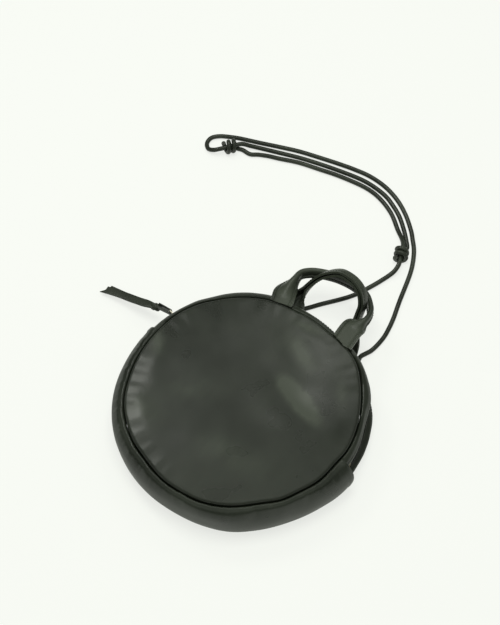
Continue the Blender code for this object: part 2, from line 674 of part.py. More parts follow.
def back_side(along):
    """The back handle lies on the floor at its root and rises in two bends."""
    if along <= 0:
        return along, 0.0, 0.0
    out = up = slope = done = 0.0
    for start, length, turn in BACK_BENDS:
        run = max(0.0, min(along, start) - done)
        angle = turn * min(max(along - start, 0.0), length) / length
        radius = length / turn
        out += run * math.cos(slope) + radius * (math.sin(slope + angle) - math.sin(slope))
        up += run * math.sin(slope) + radius * (math.cos(slope) - math.cos(slope + angle))
        slope += angle
        done = start + length
    run = max(0.0, along - done)
    return out + run * math.cos(slope), up + run * math.sin(slope), slope


def make_handles(finishes, parts, cutters, root):
    front = empty("front_handle_hinge", parts, root, Matrix.Translation((0, FRONT_HINGE_Y, FRONT_HINGE_Z)))
    back = empty("back_handle_hinge", parts, root, Matrix.Translation((0, BACK_HINGE_Y, BACK_HINGE_Z)))
    make_handle("handle_front", FRONT_REACH, FRONT_STRAP_SHARES, front_side, 1, finishes, parts, cutters, front)
    make_handle("handle_back", BACK_REACH, BACK_STRAP_SHARES, back_side, -1, finishes, parts, cutters, back)


def knot_turns(knot):
    """Points of a knot wound round the other lace, from under that lace at its far end."""
    x, y, heading = knot
    along = Vector((math.cos(heading * DEG), math.sin(heading * DEG), 0))
    side = Vector((along.y, -along.x, 0))
    radius = LACE + KNOT_GAP
    floor = LACE_FLOOR_GAP + LACE / 2
    axis = Vector((x * MM, y * MM, floor + radius))
    start = KNOT_PITCH * KNOT_TURNS / 2
    entry = axis + along * (start + KNOT_PITCH) + side * (LACE - KNOT_GAP) - Vector((0, 0, radius))
    points = [entry]
    count = round(9 * KNOT_TURNS)
    for i in range(count + 1):
        turn = -math.pi / 2 - ROUND * KNOT_TURNS * i / count
        run = start * (1 - 2 * i / count)
        points.append(axis + along * run + (side * math.cos(turn) + Vector((0, 0, 1)) * math.sin(turn)) * radius)
    return points


def lace_points(route, knot):
    """The lace's middle from its seam to the end of its knot, with each point's share of full size.

    Points lie close together where it turns and far apart where it runs straight.
    """
    floor = LACE_FLOOR_GAP + LACE / 2
    given = [(x * MM, y * MM, floor + z * MM) for x, y, z in route] + [tuple(p) for p in knot_turns(knot)]
    fine = smooth_path(given, SPAN_POINTS)
    kept = [fine[0]]
    run = turned = 0.0
    for before, here, after in zip(fine, fine[1:], fine[2:]):
        arriving, leaving = Vector(here - before), Vector(after - here)
        run += arriving.length
        turned += arriving.angle(leaving)
        if run > LACE_STEP or turned > LACE_TURN:
            kept.append(here)
            run = turned = 0.0
    kept.append(fine[-1])
    points, shares = [], []
    along = 0.0
    for before, here in zip([kept[0], *kept], kept):
        along += float(np.linalg.norm(here - before))
        share = LACE_TUCK_SHARE + (1 - LACE_TUCK_SHARE) * min(1.0, max(0.0, (along - LACE_TUCK) / LACE_TAPER))
        points.append((here[0], here[1], here[2] - LACE / 2 * (1 - share)))
        shares.append(share)
    return points, shares


def make_laces(finishes, parts):
    for name, route, knot in (("cord_right", RIGHT_ROUTE, RIGHT_KNOT), ("cord_left", LEFT_ROUTE, LEFT_KNOT)):
        points, shares = lace_points(route, knot)
        tube(name, points, LACE, finishes["lace"], parts, shares)


def main():
    clear_scene()
    scene = bpy.context.scene
    parts = bpy.data.collections.new("Round leather bag")
    cutters = bpy.data.collections.new("Cutters")
    for collection in (parts, cutters):
        scene.collection.children.link(collection)
    finishes = {
        "leather": material("Black leather", (0.028, 0.031, 0.027), 0.42),
        "lining": material("Black lining cloth", (0.02, 0.02, 0.02), 0.9),
        "tape": material("Black zip tape", (0.02, 0.02, 0.02), 0.85),
        "teeth": material("Old brass teeth", (0.42, 0.36, 0.26), 0.35, 1.0),
        "brass": material("Pale brass", (0.75, 0.7, 0.58), 0.25, 1.0),
        "lace": material("Black round lace", (0.03, 0.03, 0.028), 0.5),
    }
    root = empty("bag", parts)
    make_panels(finishes, parts)
    make_linings(finishes, parts)
    make_gussets(finishes, parts)
    make_chain("zip_chain_front", 1, finishes, parts, cutters)
    make_chain("zip_chain_back", -1, finishes, parts, cutters)
    make_stops(finishes, parts)

    slider = empty(
        "slider_pivot", parts, root,
        Matrix.Translation((0, 0, ZIP_HEIGHT)) @ Matrix.Rotation(math.pi / 2 + SLIDER_ANGLE, 4, "Z"),
    )
    make_slider(finishes, parts, cutters, slider)
    link = empty(
        "link_pivot", parts, slider,
        Matrix.Translation((link_hinge(), 0, 0)) @ Matrix.Rotation(LINK_REST_ANGLE, 4, "Z"),
    )
    make_link(finishes, parts, link)
    thong = empty(
        "thong_pivot", parts, link,
        Matrix.Translation((LINK_LENGTH - LINK_WIRE, 0, 0)) @ Matrix.Rotation(THONG_TURN, 4, "Z"),
    )
    make_thong(finishes, parts, cutters, thong)
    make_handles(finishes, parts, cutters, root)
    make_laces(finishes, parts)
    for piece in parts.objects:
        if piece.type == "MESH":
            piece.data.shade_smooth()


main()
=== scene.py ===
"""A flat round leather bag, lying on its back: panels, gussets, zip, handles and laces, on a pale floor."""

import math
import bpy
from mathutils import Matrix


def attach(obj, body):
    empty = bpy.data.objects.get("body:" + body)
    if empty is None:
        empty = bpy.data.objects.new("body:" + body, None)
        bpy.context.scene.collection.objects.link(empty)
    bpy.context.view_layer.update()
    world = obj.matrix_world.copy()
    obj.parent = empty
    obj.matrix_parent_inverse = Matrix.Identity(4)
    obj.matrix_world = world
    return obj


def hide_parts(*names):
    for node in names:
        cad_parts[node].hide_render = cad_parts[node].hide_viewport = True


bl_info = {
    "name": "Round Leather Bag",
    "version": (1, 0, 0),
    "blender": (4, 5, 0),
    "location": "3D View > Sidebar > Round Bag",
    "description": "Builds a flat round leather bag with a curved zip, folded strap handles and a knotted lace",
    "category": "Object",
}

from functools import partial

import bmesh
import bpy
from mathutils import Matrix, Vector, noise

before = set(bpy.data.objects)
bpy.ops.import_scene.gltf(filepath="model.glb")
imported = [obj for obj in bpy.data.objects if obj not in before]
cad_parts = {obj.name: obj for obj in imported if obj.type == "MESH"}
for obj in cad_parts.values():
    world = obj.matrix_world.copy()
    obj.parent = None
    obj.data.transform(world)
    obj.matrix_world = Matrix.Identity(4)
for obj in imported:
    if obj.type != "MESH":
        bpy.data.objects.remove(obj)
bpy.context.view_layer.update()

MM = 0.001
DEG = math.pi / 180
ROUND = 2 * math.pi

# Sizes that follow the solids, in metres.
SEAM_RADIUS = 118 * MM
DEPTH = 50 * MM
CROWN = 5 * MM
LEATHER = 1.6 * MM
EDGE_ROLL = 3.2 * MM
FLANGE = 7 * MM
BULGE_RADIUS = 127.2 * MM
STRIP_FACE = 124.9 * MM
ZIP_HALF_ANGLE = 86 * DEG
ZIP_HEIGHT = 26 * MM
TAPE_RADIUS = 120.45 * MM
TAPE_THICKNESS = 0.6 * MM
TAPE_WIDTH = 13 * MM
TAPE_TUCK = 5 * MM
TOOTH_PITCH = 2.5 * MM
ROW_HALF_ANGLE = 82.8 * DEG
SLIDER_ANGLE = 72 * DEG
SLIDER_LENGTH = 11 * MM
LINK_HINGE = 124.4 * MM
LINK_LENGTH = 16 * MM
LINK_WIDTH = 9.4 * MM
LINK_WIRE = 1.6 * MM
LINK_REST_ANGLE = 3.5 * DEG
THONG_TURN = 22 * DEG
STRAP_WIDTH = 24 * MM
STRAP_FOLD_RADIUS = 2 * MM
HALF_FEET = 39 * MM
FRONT_REACH = 72.3 * MM
FRONT_TILT = -9.5 * DEG
FRONT_HINGE = (111 * MM, 50.5 * MM)
BACK_REACH = 87 * MM
BACK_HINGE = (118.5 * MM, 1.4 * MM)
BACK_BENDS = ((0, 5 * MM, 34 * DEG), (33 * MM, 22 * MM, 31 * DEG))
LACE = 5 * MM
LACE_FLOOR_GAP = 0.3 * MM

# (angle in degrees from +X, how far out in mm) of the front seam against its circle.
SEAM_WAVE = (
    (0, -2.6), (10, -1.0), (21, -1.0), (35, -0.7), (46, 0.7), (57, 3.0), (65, 2.8), (72, 1.2), (80, -1.6),
    (93, -1.7), (105, -1.4), (116, 1.0), (128, 1.5), (143, 1.4), (151, 2.4), (162, 2.1), (175, 0.2),
    (187, -0.8), (198, -1.3), (209, -0.8), (220, 0.6), (231, 0.5), (243, 0.1), (254, -1.0), (268, 0.8),
    (281, 1.3), (290, 2.2), (302, 1.0), (317, -1.9), (327, -0.8), (337, -1.9), (348, -1.3),
)
# The same for the lower gusset's bulge, and for the two strips beside the zip.
BULGE_WAVE = (
    (90, 2.5), (174, 4.2), (180, 4.2), (190, 4.2), (205, 4.6), (219, 4.7), (228, 4.6), (236, 4.4), (248, 3.9),
    (262, 2.6), (277, 1.6), (290, 2.6), (303, 3.6), (315, 1.9), (330, 0.7), (345, 2.2), (356, 4.8), (5, 5.4),
)
FRONT_STRIP_WAVE = (
    (0, 2.2), (10, 1.2), (18, 0.2), (26, -0.2), (32, 0.8), (39, 3.0), (46, 3.4), (53, 2.2), (58, 1.0), (65, 0.4),
    (75, 0.8), (95, 2.4), (115, 5.0), (135, 4.6), (150, 2.6), (160, 1.4), (172, 2.6), (190, 2.8), (350, 2.2),
)
BACK_STRIP_WAVE = (
    (0, 2.0), (10, 2.6), (20, 3.8), (30, 4.9), (39, 5.8), (48, 4.4), (56, 2.0), (65, 1.0), (75, 0.6), (95, 0.6),
    (135, 1.0), (172, 2.0), (190, 2.0), (350, 1.5),
)
# (across, along, fold) of each strap from its left foot to its right foot: across as a share
# of half the feet's spacing, along as a share of the reach, and fold 0 flat to 1 folded in two.
FRONT_STRAP = (
    (-1.02, -0.02, 0.0), (-1.08, 0.08, 0.0), (-1.18, 0.2, 0.2), (-1.24, 0.34, 0.5), (-1.27, 0.49, 0.85),
    (-1.27, 0.64, 1.0), (-1.1, 0.77, 1.0), (-0.83, 0.87, 1.0), (-0.51, 0.95, 1.0), (-0.2, 0.99, 1.0),
    (0.08, 1.0, 1.0), (0.32, 0.985, 1.0), (0.53, 0.945, 1.0), (0.73, 0.86, 1.0), (0.88, 0.77, 1.0),
    (0.95, 0.67, 1.0), (0.97, 0.58, 1.0), (0.95, 0.52, 0.75), (0.9, 0.44, 0.3), (0.88, 0.35, 0.04),
    (0.89, 0.25, 0.0), (0.94, 0.08, 0.0), (0.96, -0.02, 0.0),
)
BACK_STRAP = (
    (-1.0, -0.152, 0.0), (-1.01, 0.075, 0.0), (-1.075, 0.22, 0.08), (-1.09, 0.335, 0.4), (-1.045, 0.425, 0.8),
    (-1.005, 0.52, 1.0), (-0.89, 0.66, 1.0), (-0.7, 0.807, 1.0), (-0.46, 0.92, 1.0), (-0.245, 0.984, 1.0),
    (-0.02, 1.0, 1.0), (0.196, 0.99, 1.0), (0.396, 0.95, 1.0), (0.548, 0.881, 1.0), (0.65, 0.772, 1.0),
    (0.66, 0.66, 1.0), (0.666, 0.55, 1.0), (0.7, 0.453, 0.85), (0.75, 0.335, 0.5), (0.81, 0.2, 0.12),
    (0.88, 0.057, 0.0), (0.9, -0.152, 0.0),
)
# The laces' routes in mm: across, up the floor and above the floor's level of a lace.
RIGHT_ROUTE = (
    (51, 106.5, 0), (51, 113, 0), (51, 119, 0), (50, 125, 0), (47.8, 130, 0),
    (46.8, 135.5, 0), (48.6, 141, 0), (50.8, 147, 0), (51.7, 154, 0), (51.8, 163, 0), (51, 172, 0),
    (48.2, 184.3, 0), (44.7, 195.8, 0), (40.6, 206.8, 0), (37, 216.8, 0), (32.8, 229.5, 0),
    (28.5, 242.4, 0), (23.8, 254.6, 0), (18, 266, 0), (10.5, 277.5, 0), (1.8, 287, 0),
    (-7.7, 296.4, 0), (-24, 308.8, 0), (-42.8, 318.8, 0), (-63.5, 324.6, 0), (-84.8, 325.4, 0),
    (-103, 322.3, 0), (-120.5, 317.8, 0), (-143, 311, 0), (-166, 303.5, 0), (-186, 295, 0),
    (-207, 285.5, 0), (-218.5, 280.5, 0), (-229, 275.9, 0), (-239, 270.5, 0), (-248.5, 264.2, 0),
    (-254.3, 256.5, 0), (-253.5, 248, 0), (-247.5, 242.6, 0.5), (-240.6, 243, 3.2), (-234.6, 247.4, 5.6),
    (-227.4, 257.6, 5.7), (-220.2, 267.8, 5.6), (-212.6, 274, 2), (-203.4, 279.4, 0), (-181.8, 288.2, 0),
    (-160.3, 296.8, 0), (-138, 304, 0), (-115, 310.4, 0), (-91, 315.8, 0), (-74, 316.9, 0),
    (-56, 315, 0), (-42, 309.9, 0), (-27.5, 302.4, 0), (-13.5, 291.6, 0), (-3.5, 282.4, 0),
)
LEFT_ROUTE = (
    (-58, 103.3, 0), (-58, 111, 0), (-58, 118, 0), (-57.4, 124, 0), (-54, 129.6, 0),
    (-48.5, 133.5, 0), (-42.5, 137, 0), (-37, 141.5, 0), (-31.6, 149, 0), (-25.2, 159.2, 0),
    (-18.9, 168.3, 0), (-12.6, 177.4, 0), (-6.9, 186.5, 0), (-2, 196.5, 0), (1.7, 207, 0),
    (4.8, 216.5, 0), (7.2, 225, 0), (9.4, 233, 0.4), (11.6, 241, 3), (10.6, 250.4, 5.6),
    (5.2, 261.2, 5.7), (-0.2, 272, 5.6), (-7.4, 279.6, 2.2), (-18.4, 287.3, 0), (-37, 300.2, 0),
    (-58.9, 308.4, 0), (-80.5, 310, 0), (-110.9, 304.6, 0), (-133.9, 298, 0), (-156.9, 291, 0),
    (-177.6, 281.6, 0), (-189, 276.8, 0), (-198.8, 271.4, 0), (-206.6, 266, 0),
)
# Each knot's middle on the other lace, and its way along that lace in degrees from +X.
RIGHT_KNOT = (5.2, 261.2, 116.5)
LEFT_KNOT = (-227.4, 257.6, 55)
KNOT_PITCH = 5.8 * MM
KNOT_TURNS = 2.3
KNOT_GAP = 0.7 * MM
KNOT_STEPS = 9

# Brightness of the studio at the sine of each height above the horizon.
SKY = ((0.0, 0.08), (0.3, 0.10), (0.55, 0.26), (0.74, 0.38), (0.86, 0.40), (1.0, 0.80))
# (name, turn to the right from straight ahead, height above the horizon, distance, size, watts); angles in degrees.
LAMPS = (
    ("ceiling", 0, 88, 2.2, (1.0, 1.0), 24.0),
    ("window_right", 17, 51, 1.7, (0.36, 0.36), 1.3),
    ("window_left", -38, 52, 1.7, (0.3, 0.45), 3.4),
)
# (x, y, length, width, heading, strength) of the front panel's painted highlights, lighter patches that stand in for
# the lamps' glints, in mm and degrees.
PAINTED_HIGHLIGHTS = (
    (47, 31, 46, 16, -16, 6.5), (14, 76, 40, 15, -25, 1.6), (-108, -4, 30, 14, -40, 1.3),
    (-73, -72, 44, 24, -25, 0.8), (30, -58, 60, 26, 12, 0.7), (-4, 104, 34, 10, 12, 1.2),
    (-50, -30, 60, 26, 30, 0.5), (76, 62, 34, 12, -50, 0.8),
)
# (x, y, length, width, heading, height) of soft swells of the front panel, in mm and degrees.
SWELLS = (
    (56, 28, 30, 11, -10, 1.7), (14, 70, 24, 12, -35, 1.0), (-104, -16, 22, 9, -60, 1.2),
    (-76, -78, 22, 9, -20, 1.2), (34, -66, 30, 13, 10, 1.3), (4, 98, 22, 8, 10, 0.9), (0, 5, 34, 24, 40, -1.4),
    (88, 8, 20, 9, 70, 0.9), (-30, 60, 36, 20, 30, -0.8), (-40, -40, 30, 14, 20, -0.8),
)
# (radius, height) in mm of the leather's two faces: the lower gusset's, then the front strip's.
GUSSET_OUTER = (
    (117.9, 41), (118.0, 42.8), (118.5, 44.8), (119.2, 46.2), (120.2, 47.0), (121.2, 46.8), (121.8, 46.1),
    (122.4, 45.8), (123.1, 45.3), (123.8, 44.4), (124.5, 42.8), (125.1, 41), (125.9, 38.2), (126.6, 34.6),
    (127.1, 30.6), (127.2, 26), (127.0, 21), (126.4, 16), (125.5, 11.5), (124.4, 7.6), (123.2, 4.6),
    (122.0, 2.6), (120.8, 1.6), (119.6, 1.9), (118.6, 3.4), (118.15, 5.4), (118.15, 8.0),
)
GUSSET_INNER = (
    (119.75, 8), (119.8, 6), (120.3, 4.6), (120.9, 4.4), (121.6, 5.4), (122.8, 8.2), (123.9, 12), (124.8, 16.4),
    (125.4, 21.2), (125.6, 26), (125.5, 30.2), (125.0, 34), (124.3, 37.6), (123.5, 40.3), (122.6, 42.6),
    (121.4, 44.5), (120.4, 44.6), (119.8, 43.5), (119.75, 41),
)
STRIP_OUTER = (
    (117.9, 41), (118.0, 42.8), (118.5, 44.8), (119.1, 46.0), (120.0, 46.8), (120.9, 46.5), (121.5, 45.8),
    (122.1, 45.4), (122.7, 44.8), (123.3, 43.8), (123.8, 42.4), (123.9, 41.6), (123.6, 41.0), (124.1, 40.5),
    (124.6, 39.0), (124.85, 36.8), (124.85, 34.8), (124.5, 33.2), (124.0, 32.4), (123.2, 32.2),
    (122.4, 32.4), (121.8, 33.2), (121.6, 34.6), (121.7, 38.2),
)
STRIP_INNER = (
    (122.7, 38.8), (122.6, 40.8), (122.2, 42.8), (121.4, 44.3), (120.6, 45.0), (120.0, 44.8), (119.6, 43.6),
    (119.5, 41),
)
# Tints of the studio: its lamps and its sky.
LAMP_TINT = (0.98, 1.0, 0.93)
SKY_TINT = (1.0, 1.045, 0.93)
# The floor's brightness as the leather reflects it.
FLOOR_REFLECTED = (0.7, 0.73, 0.66)
# What the camera looks at: to its right, forwards along the floor, and up.
CAMERA_TARGET = (6.8 * MM, 115.7 * MM, 25 * MM)
# Height of the camera's sensor in mm.
SENSOR = 24
# Thickness of the lining's cloth, and the radius of its two discs.
CLOTH = 0.6 * MM
CLOTH_RADIUS = 112.6 * MM
# Slots of the sewing thread and of the teeth among a piece's materials.
THREAD_SLOT = 1
TEETH_SLOT = 1
# How far from the zip's middle its strips are sewn, and a stitch's length as a share of the pitch.
STRIP_SEWING = 10 * MM
STRIP_STITCH = 0.72
STRAP_STITCH = 0.7
# How far the strips' lips are drawn in and apart at the zip's right end.
LIPS_IN = 1.3 * MM
LIPS_APART = 2 * MM
# How far each row of teeth has parted behind the slider.
ROW_PARTED = 1.9 * MM
# A tooth's block: how far from the zip's middle its own middle stands, and its length; then its nose's length.
TOOTH_MIDDLE = 2.3 * MM
TOOTH_BLOCK = 2.6 * MM
TOOTH_NOSE = 1.7 * MM
# Half the thickness of the bead on the tape's edge, and how far from the zip's middle it starts and ends.
BEAD = 1.0 * MM
BEAD_NEAR = 1.35 * MM
BEAD_FAR = 3.4 * MM
# Where between two points of a strap's section its stitches lie, and how far they stand proud.
SEWN_AT = 0.35
SEWN_PROUD = 0.12 * MM
# Half a strap's thickness, and shares of it at the turned edge, at the sewn line and elsewhere.
STRAP_HALF_THICK = 1.05 * MM
HEM_THICK = 1.15
SEWN_THICK = 0.45
FLAT_THICK = 0.78
# Powers that square the link's far end and the knot's bands.
LINK_SQUARE = 0.57
BAND_SQUARE = 0.6
# The thong's leather and width, where its knot starts and its tails end, how far it sinks, and its lowest level.
THONG_LEATHER = 1.3 * MM
THONG_WIDTH = 9 * MM
THONG_KNOT = 13.5 * MM
THONG_END = 85 * MM
THONG_SINK = 23.7 * MM
THONG_LOWEST = -25.1 * MM
# A leather's shine, and what is left of it where it is seen edge on.
SHINE = 0.5
SHINE_EDGE_ON = 0.08


def smoothstep(low, high, value):
    """0 at low, 1 at high and smooth between them; high may be the smaller."""
    share = min(1.0, max(0.0, (value - low) / (high - low)))
    return share * share * (3 - 2 * share)


def ramp(low, high, length):
    """smoothstep of a length in metres between two in millimetres."""
    return smoothstep(low * MM, high * MM, length)


def between(before, start, stop, after, share):
    """Value on the smooth curve from start to stop."""
    leave, arrive = (stop - before) / 2, (after - start) / 2
    return (
        start
        + leave * share
        + (3 * (stop - start) - 2 * leave - arrive) * share**2
        + (2 * (start - stop) + leave + arrive) * share**3
    )


def shares(count):
    """Even shares from 0 to 1."""
    return [step / count for step in range(count + 1)]


def turns(count):
    """Angles at an even pitch, once round."""
    return [ROUND * step / count for step in range(count)]


def squared(value, power):
    """A sine or cosine bent so that a circle becomes a rounded square."""
    return math.copysign(abs(value) ** power, value)


def crown_height(share):
    """How far a filled panel stands above its rim, at a share of its radius."""
    return CROWN * (1 - share**2.2)


def smooth_path(points, per_span):
    """Points along the smooth curve through the given ones, each of any length."""
    size = len(points[0])
    given = [tuple(2 * a - b for a, b in zip(points[0], points[1])), *points]
    given.append(tuple(2 * a - b for a, b in zip(points[-1], points[-2])))
    made = []
    for group in zip(given, given[1:], given[2:], given[3:]):
        for step in range(per_span):
            made.append(tuple(between(*(p[i] for p in group), step / per_span) for i in range(size)))
    return [*made, tuple(points[-1])]


def round_table(table, angle):
    """Value at an angle of a table of (degrees, value) that goes once round."""
    angle = angle / DEG % 360
    rows = sorted(table)
    count = len(rows)
    here = max((i for i in range(count) if rows[i][0] <= angle), default=count - 1)
    start, stop = rows[here], rows[(here + 1) % count]
    share = ((angle - start[0]) % 360) / ((stop[0] - start[0]) % 360)
    return between(rows[here - 1][1], start[1], stop[1], rows[(here + 2) % count][1], share)


def wobble(point, size, seed=0.0):
    """Smooth noise from about -1 to 1, with bumps of about that size."""
    return noise.noise(Vector(point) / size + Vector((seed, 3.7 * seed, 1.3 * seed)))


def path_step(line, index):
    """Way of a line at a point, seen from above: from the point before it to the one after."""
    before, after = line[max(index - 1, 0)], line[min(index + 1, len(line) - 1)]
    return Vector((after[0] - before[0], after[1] - before[1])).normalized()


def walled(outer, thickness):
    """A closed outline of a wall: the outer line, then its inner line back."""
    inner = []
    for i, (x, y) in enumerate(outer):
        step = path_step(outer, i)
        # The outer line runs with the inside on its right.
        inner.append((x + step.y * thickness, y - step.x * thickness))
    return [*outer, *reversed(inner)]


def close_ends(bm, *rims):
    """Fills each open rim with a face."""
    for rim in rims:
        bmesh.ops.contextual_create(bm, geom=rim)


def spun(outline, start, sweep, steps, closed):
    """A bmesh of an outline of (radius, height), turned about Z, with its ends closed."""
    bm = bmesh.new()
    ring = [bm.verts.new((r * math.cos(start), r * math.sin(start), z)) for r, z in outline]
    edges = [bm.edges.new(pair) for pair in zip(ring, ring[1:])]
    if closed:
        edges.append(bm.edges.new((ring[-1], ring[0])))
    whole = abs(sweep - ROUND) < 1e-6
    made = bmesh.ops.spin(
        bm, geom=ring + edges, cent=(0, 0, 0), axis=(0, 0, 1), angle=sweep, steps=steps, use_merge=whole,
    )
    if closed and not whole:
        close_ends(bm, edges, [part for part in made["geom_last"] if isinstance(part, bmesh.types.BMEdge)])
    bmesh.ops.remove_doubles(bm, verts=bm.verts, dist=1e-6)
    bmesh.ops.recalc_face_normals(bm, faces=bm.faces)
    return bm


def swept(rings, closed=False):
    """A bmesh of a ring of points extruded through the others, capped or joined up."""
    bm = bmesh.new()
    ring = [bm.verts.new(point) for point in rings[0]]
    first = edges = [bm.edges.new(pair) for pair in zip(ring, ring[1:] + ring[:1])]
    for points in rings[1:]:
        made = bmesh.ops.extrude_edge_only(bm, edges=edges)["geom"]
        fresh = {part for part in made if isinstance(part, bmesh.types.BMVert)}
        ring = [next(e.other_vert(old) for e in old.link_edges if e.other_vert(old) in fresh) for old in ring]
        for vert, point in zip(ring, points):
            vert.co = point
        edges = [bm.edges.get(pair) for pair in zip(ring, ring[1:] + ring[:1])]
    if closed:
        bmesh.ops.bridge_loops(bm, edges=first + edges)
    else:
        close_ends(bm, first, edges)
    bmesh.ops.recalc_face_normals(bm, faces=bm.faces)
    return bm


def joined(bm, other):
    """Adds another bmesh to this one."""
    mesh = bpy.data.meshes.new("joined")
    other.to_mesh(mesh)
    other.free()
    bm.from_mesh(mesh)
    bpy.data.meshes.remove(mesh)


def piece_of(name, bm, body, looks, replaces, sharp=60):
    """An object of the bmesh with its finishes, which rides on a body and stands for its solids."""
    mesh = bpy.data.meshes.new(name)
    bm.to_mesh(mesh)
    bm.free()
    mesh.shade_smooth()
    mesh.set_sharp_from_angle(angle=sharp * DEG)
    for look in looks:
        mesh.materials.append(finishes()[look])
    piece = bpy.data.objects.new(name, mesh)
    bpy.context.scene.collection.objects.link(piece)
    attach(piece, body)
    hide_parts(*replaces)
    return piece


def finish_node(name, finish, bevel):
    """Gives a carried-over solid its finish and rounded edges."""
    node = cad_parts[name]
    for slot in node.material_slots:
        slot.link = "OBJECT"
        slot.material = finish
    rounding = node.modifiers.new("rounding", "BEVEL")
    rounding.width = bevel
    rounding.segments = 2
    rounding.limit_method = "ANGLE"


# Finishes


def node_in(tree, kind, inputs=(), **settings):
    """A node with its settings, and each input set to a value or linked to a socket."""
    made = tree.nodes.new(kind)
    for key, value in settings.items():
        setattr(made, key, value)
    for key, value in dict(inputs).items():
        if isinstance(value, bpy.types.NodeSocket):
            tree.links.new(value, made.inputs[key])
        else:
            made.inputs[key].default_value = value
    return made


def maths(tree, operation, first, second):
    """Result of a maths node."""
    return node_in(tree, "ShaderNodeMath", {0: first, 1: second}, operation=operation).outputs[0]


def ranged(tree, value, low, high, new_low=0.0, new_high=1.0):
    """A value moved from one range to another, and kept within it."""
    return node_in(
        tree, "ShaderNodeMapRange",
        {"Value": value, "From Min": low, "From Max": high, "To Min": new_low, "To Max": new_high},
    ).outputs["Result"]


def mixed(tree, share, first, second):
    """The colour that is a share of the way from the first to the second."""
    return node_in(tree, "ShaderNodeMix", {0: share, 6: first, 7: second}, data_type="RGBA").outputs[2]


def noise_in(tree, vector, scale, detail=2.0, rough=0.5):
    """Cloudy noise."""
    return node_in(
        tree, "ShaderNodeTexNoise",
        {"Vector": vector, "Scale": scale, "Detail": detail, "Roughness": rough},
    ).outputs["Fac"]


def cleared_tree(owner):
    """The emptied node tree of a material or world."""
    owner.use_nodes = True
    owner.node_tree.nodes.clear()
    return owner.node_tree


SOCKETS = {"vector": "NodeSocketVector", "colour": "NodeSocketColor", "value": "NodeSocketFloat"}


def new_group(name, inputs, outputs):
    """An empty shader group, its inputs by name (a vector comes first) and its outputs in order."""
    group = bpy.data.node_groups.new(name, "ShaderNodeTree")
    for way, labels in (("INPUT", {"Vector": "vector", **inputs}), ("OUTPUT", outputs)):
        for label, kind in labels.items():
            group.interface.new_socket(name=label, in_out=way, socket_type=SOCKETS[kind])
    return group, group.nodes.new("NodeGroupInput").outputs, group.nodes.new("NodeGroupOutput").inputs


def surface_group(name, inputs, pattern):
    """A group of a surface's colour, roughness and height, which pattern makes from its inputs."""
    outputs = {"Color": "colour", "Roughness": "value", "Height": "value"}
    group, given, made = new_group(name, inputs, outputs)
    for socket, end in zip(pattern(group, given), made):
        group.links.new(socket, end)
    return group


def leather(group, given):
    """Soft black leather: cloudy dye, rubbed patches, painted highlight patches where a mask is given, fine creases
    and pores.
    """
    plus, times = partial(maths, group, "ADD"), partial(maths, group, "MULTIPLY")
    vector = given["Vector"]
    clouds = ranged(group, noise_in(group, vector, 30), 0.3, 0.75)
    patches = ranged(group, noise_in(group, vector, 11), 0.4, 0.66)
    streaks = node_in(
        group, "ShaderNodeMapping", {"Vector": vector, "Scale": (1.0, 0.22, 1.0), "Rotation": (0, 0, 0.5)},
    )
    brushed = ranged(group, noise_in(group, streaks.outputs[0], 120), 0.3, 0.8)
    rub_and_sheen = times(plus(times(clouds, 0.5), times(patches, 0.5)), given["Rub and sheen"])
    rub_and_sheen = plus(rub_and_sheen, times(times(brushed, patches), 0.1))
    # The mask adds painted highlights: it lightens the dye where the lamps' glints would fall.
    rub_and_sheen = plus(rub_and_sheen, times(given["Painted highlight"], plus(0.45, times(brushed, 0.75))))
    colour = mixed(group, rub_and_sheen, given["Dye"], given["Rubbed and lit"])
    rough = ranged(group, clouds, 0.0, 1.0, 0.26, 0.36)
    pores = node_in(group, "ShaderNodeTexVoronoi", {"Vector": vector, "Scale": given["Pores"]}, feature="F1")
    height = plus(times(pores.outputs["Distance"], 0.12), times(noise_in(group, vector, 240), 0.5))
    return colour, rough, height


def weave(group, given):
    """Woven cloth: two crossed sets of threads, and uneven dye."""
    vector = given["Vector"]
    warp, weft = (
        node_in(
            group, "ShaderNodeTexWave",
            {"Vector": vector, "Scale": given["Threads"], "Distortion": 0.6, "Detail": 1.0},
            bands_direction=way,
        ).outputs["Fac"]
        for way in ("X", "Y")
    )
    height = maths(group, "MULTIPLY", warp, weft)
    uneven = ranged(group, noise_in(group, vector, 90, 3, 0.6), 0.3, 0.7, 0.75, 1.0)
    colour = mixed(group, maths(group, "MULTIPLY", height, uneven), given["Gap"], given["Thread"])
    return colour, ranged(group, height, 0.0, 1.0, 0.95, 0.75), height


def metal(group, given):
    """Handled brass: bright on its rubbed parts and brown where it has dulled."""
    vector = given["Vector"]
    dull = ranged(group, noise_in(group, vector, given["Spots"], 4, 0.6), 0.42, 0.62)
    colour = mixed(group, dull, given["Bright"], given["Dull"])
    return colour, ranged(group, dull, 0.0, 1.0, 0.24, 0.48), noise_in(group, vector, 900, 3)


def painted_highlight_group():
    """Painted highlights on the front panel: patches of lighter colour that stand in for the lamps' glints, each a
    soft ellipse.
    """
    group, given, made = new_group("Painted highlight patches", {}, {"Mask": "value"})
    total = 0.0
    for x, y, length, width, heading, strength in PAINTED_HIGHLIGHTS:
        place = node_in(
            group, "ShaderNodeMapping",
            {
                "Vector": given["Vector"], "Location": (x * MM, y * MM, 52 * MM),
                "Rotation": (0, 0, heading * DEG), "Scale": (length * MM, width * MM, 40 * MM),
            },
            vector_type="TEXTURE",
        )
        patch = node_in(
            group, "ShaderNodeTexGradient", {"Vector": place.outputs[0]}, gradient_type="QUADRATIC_SPHERE",
        )
        total = maths(group, "ADD", total, maths(group, "MULTIPLY", patch.outputs["Fac"], strength))
    group.links.new(total, made["Mask"])
    return group


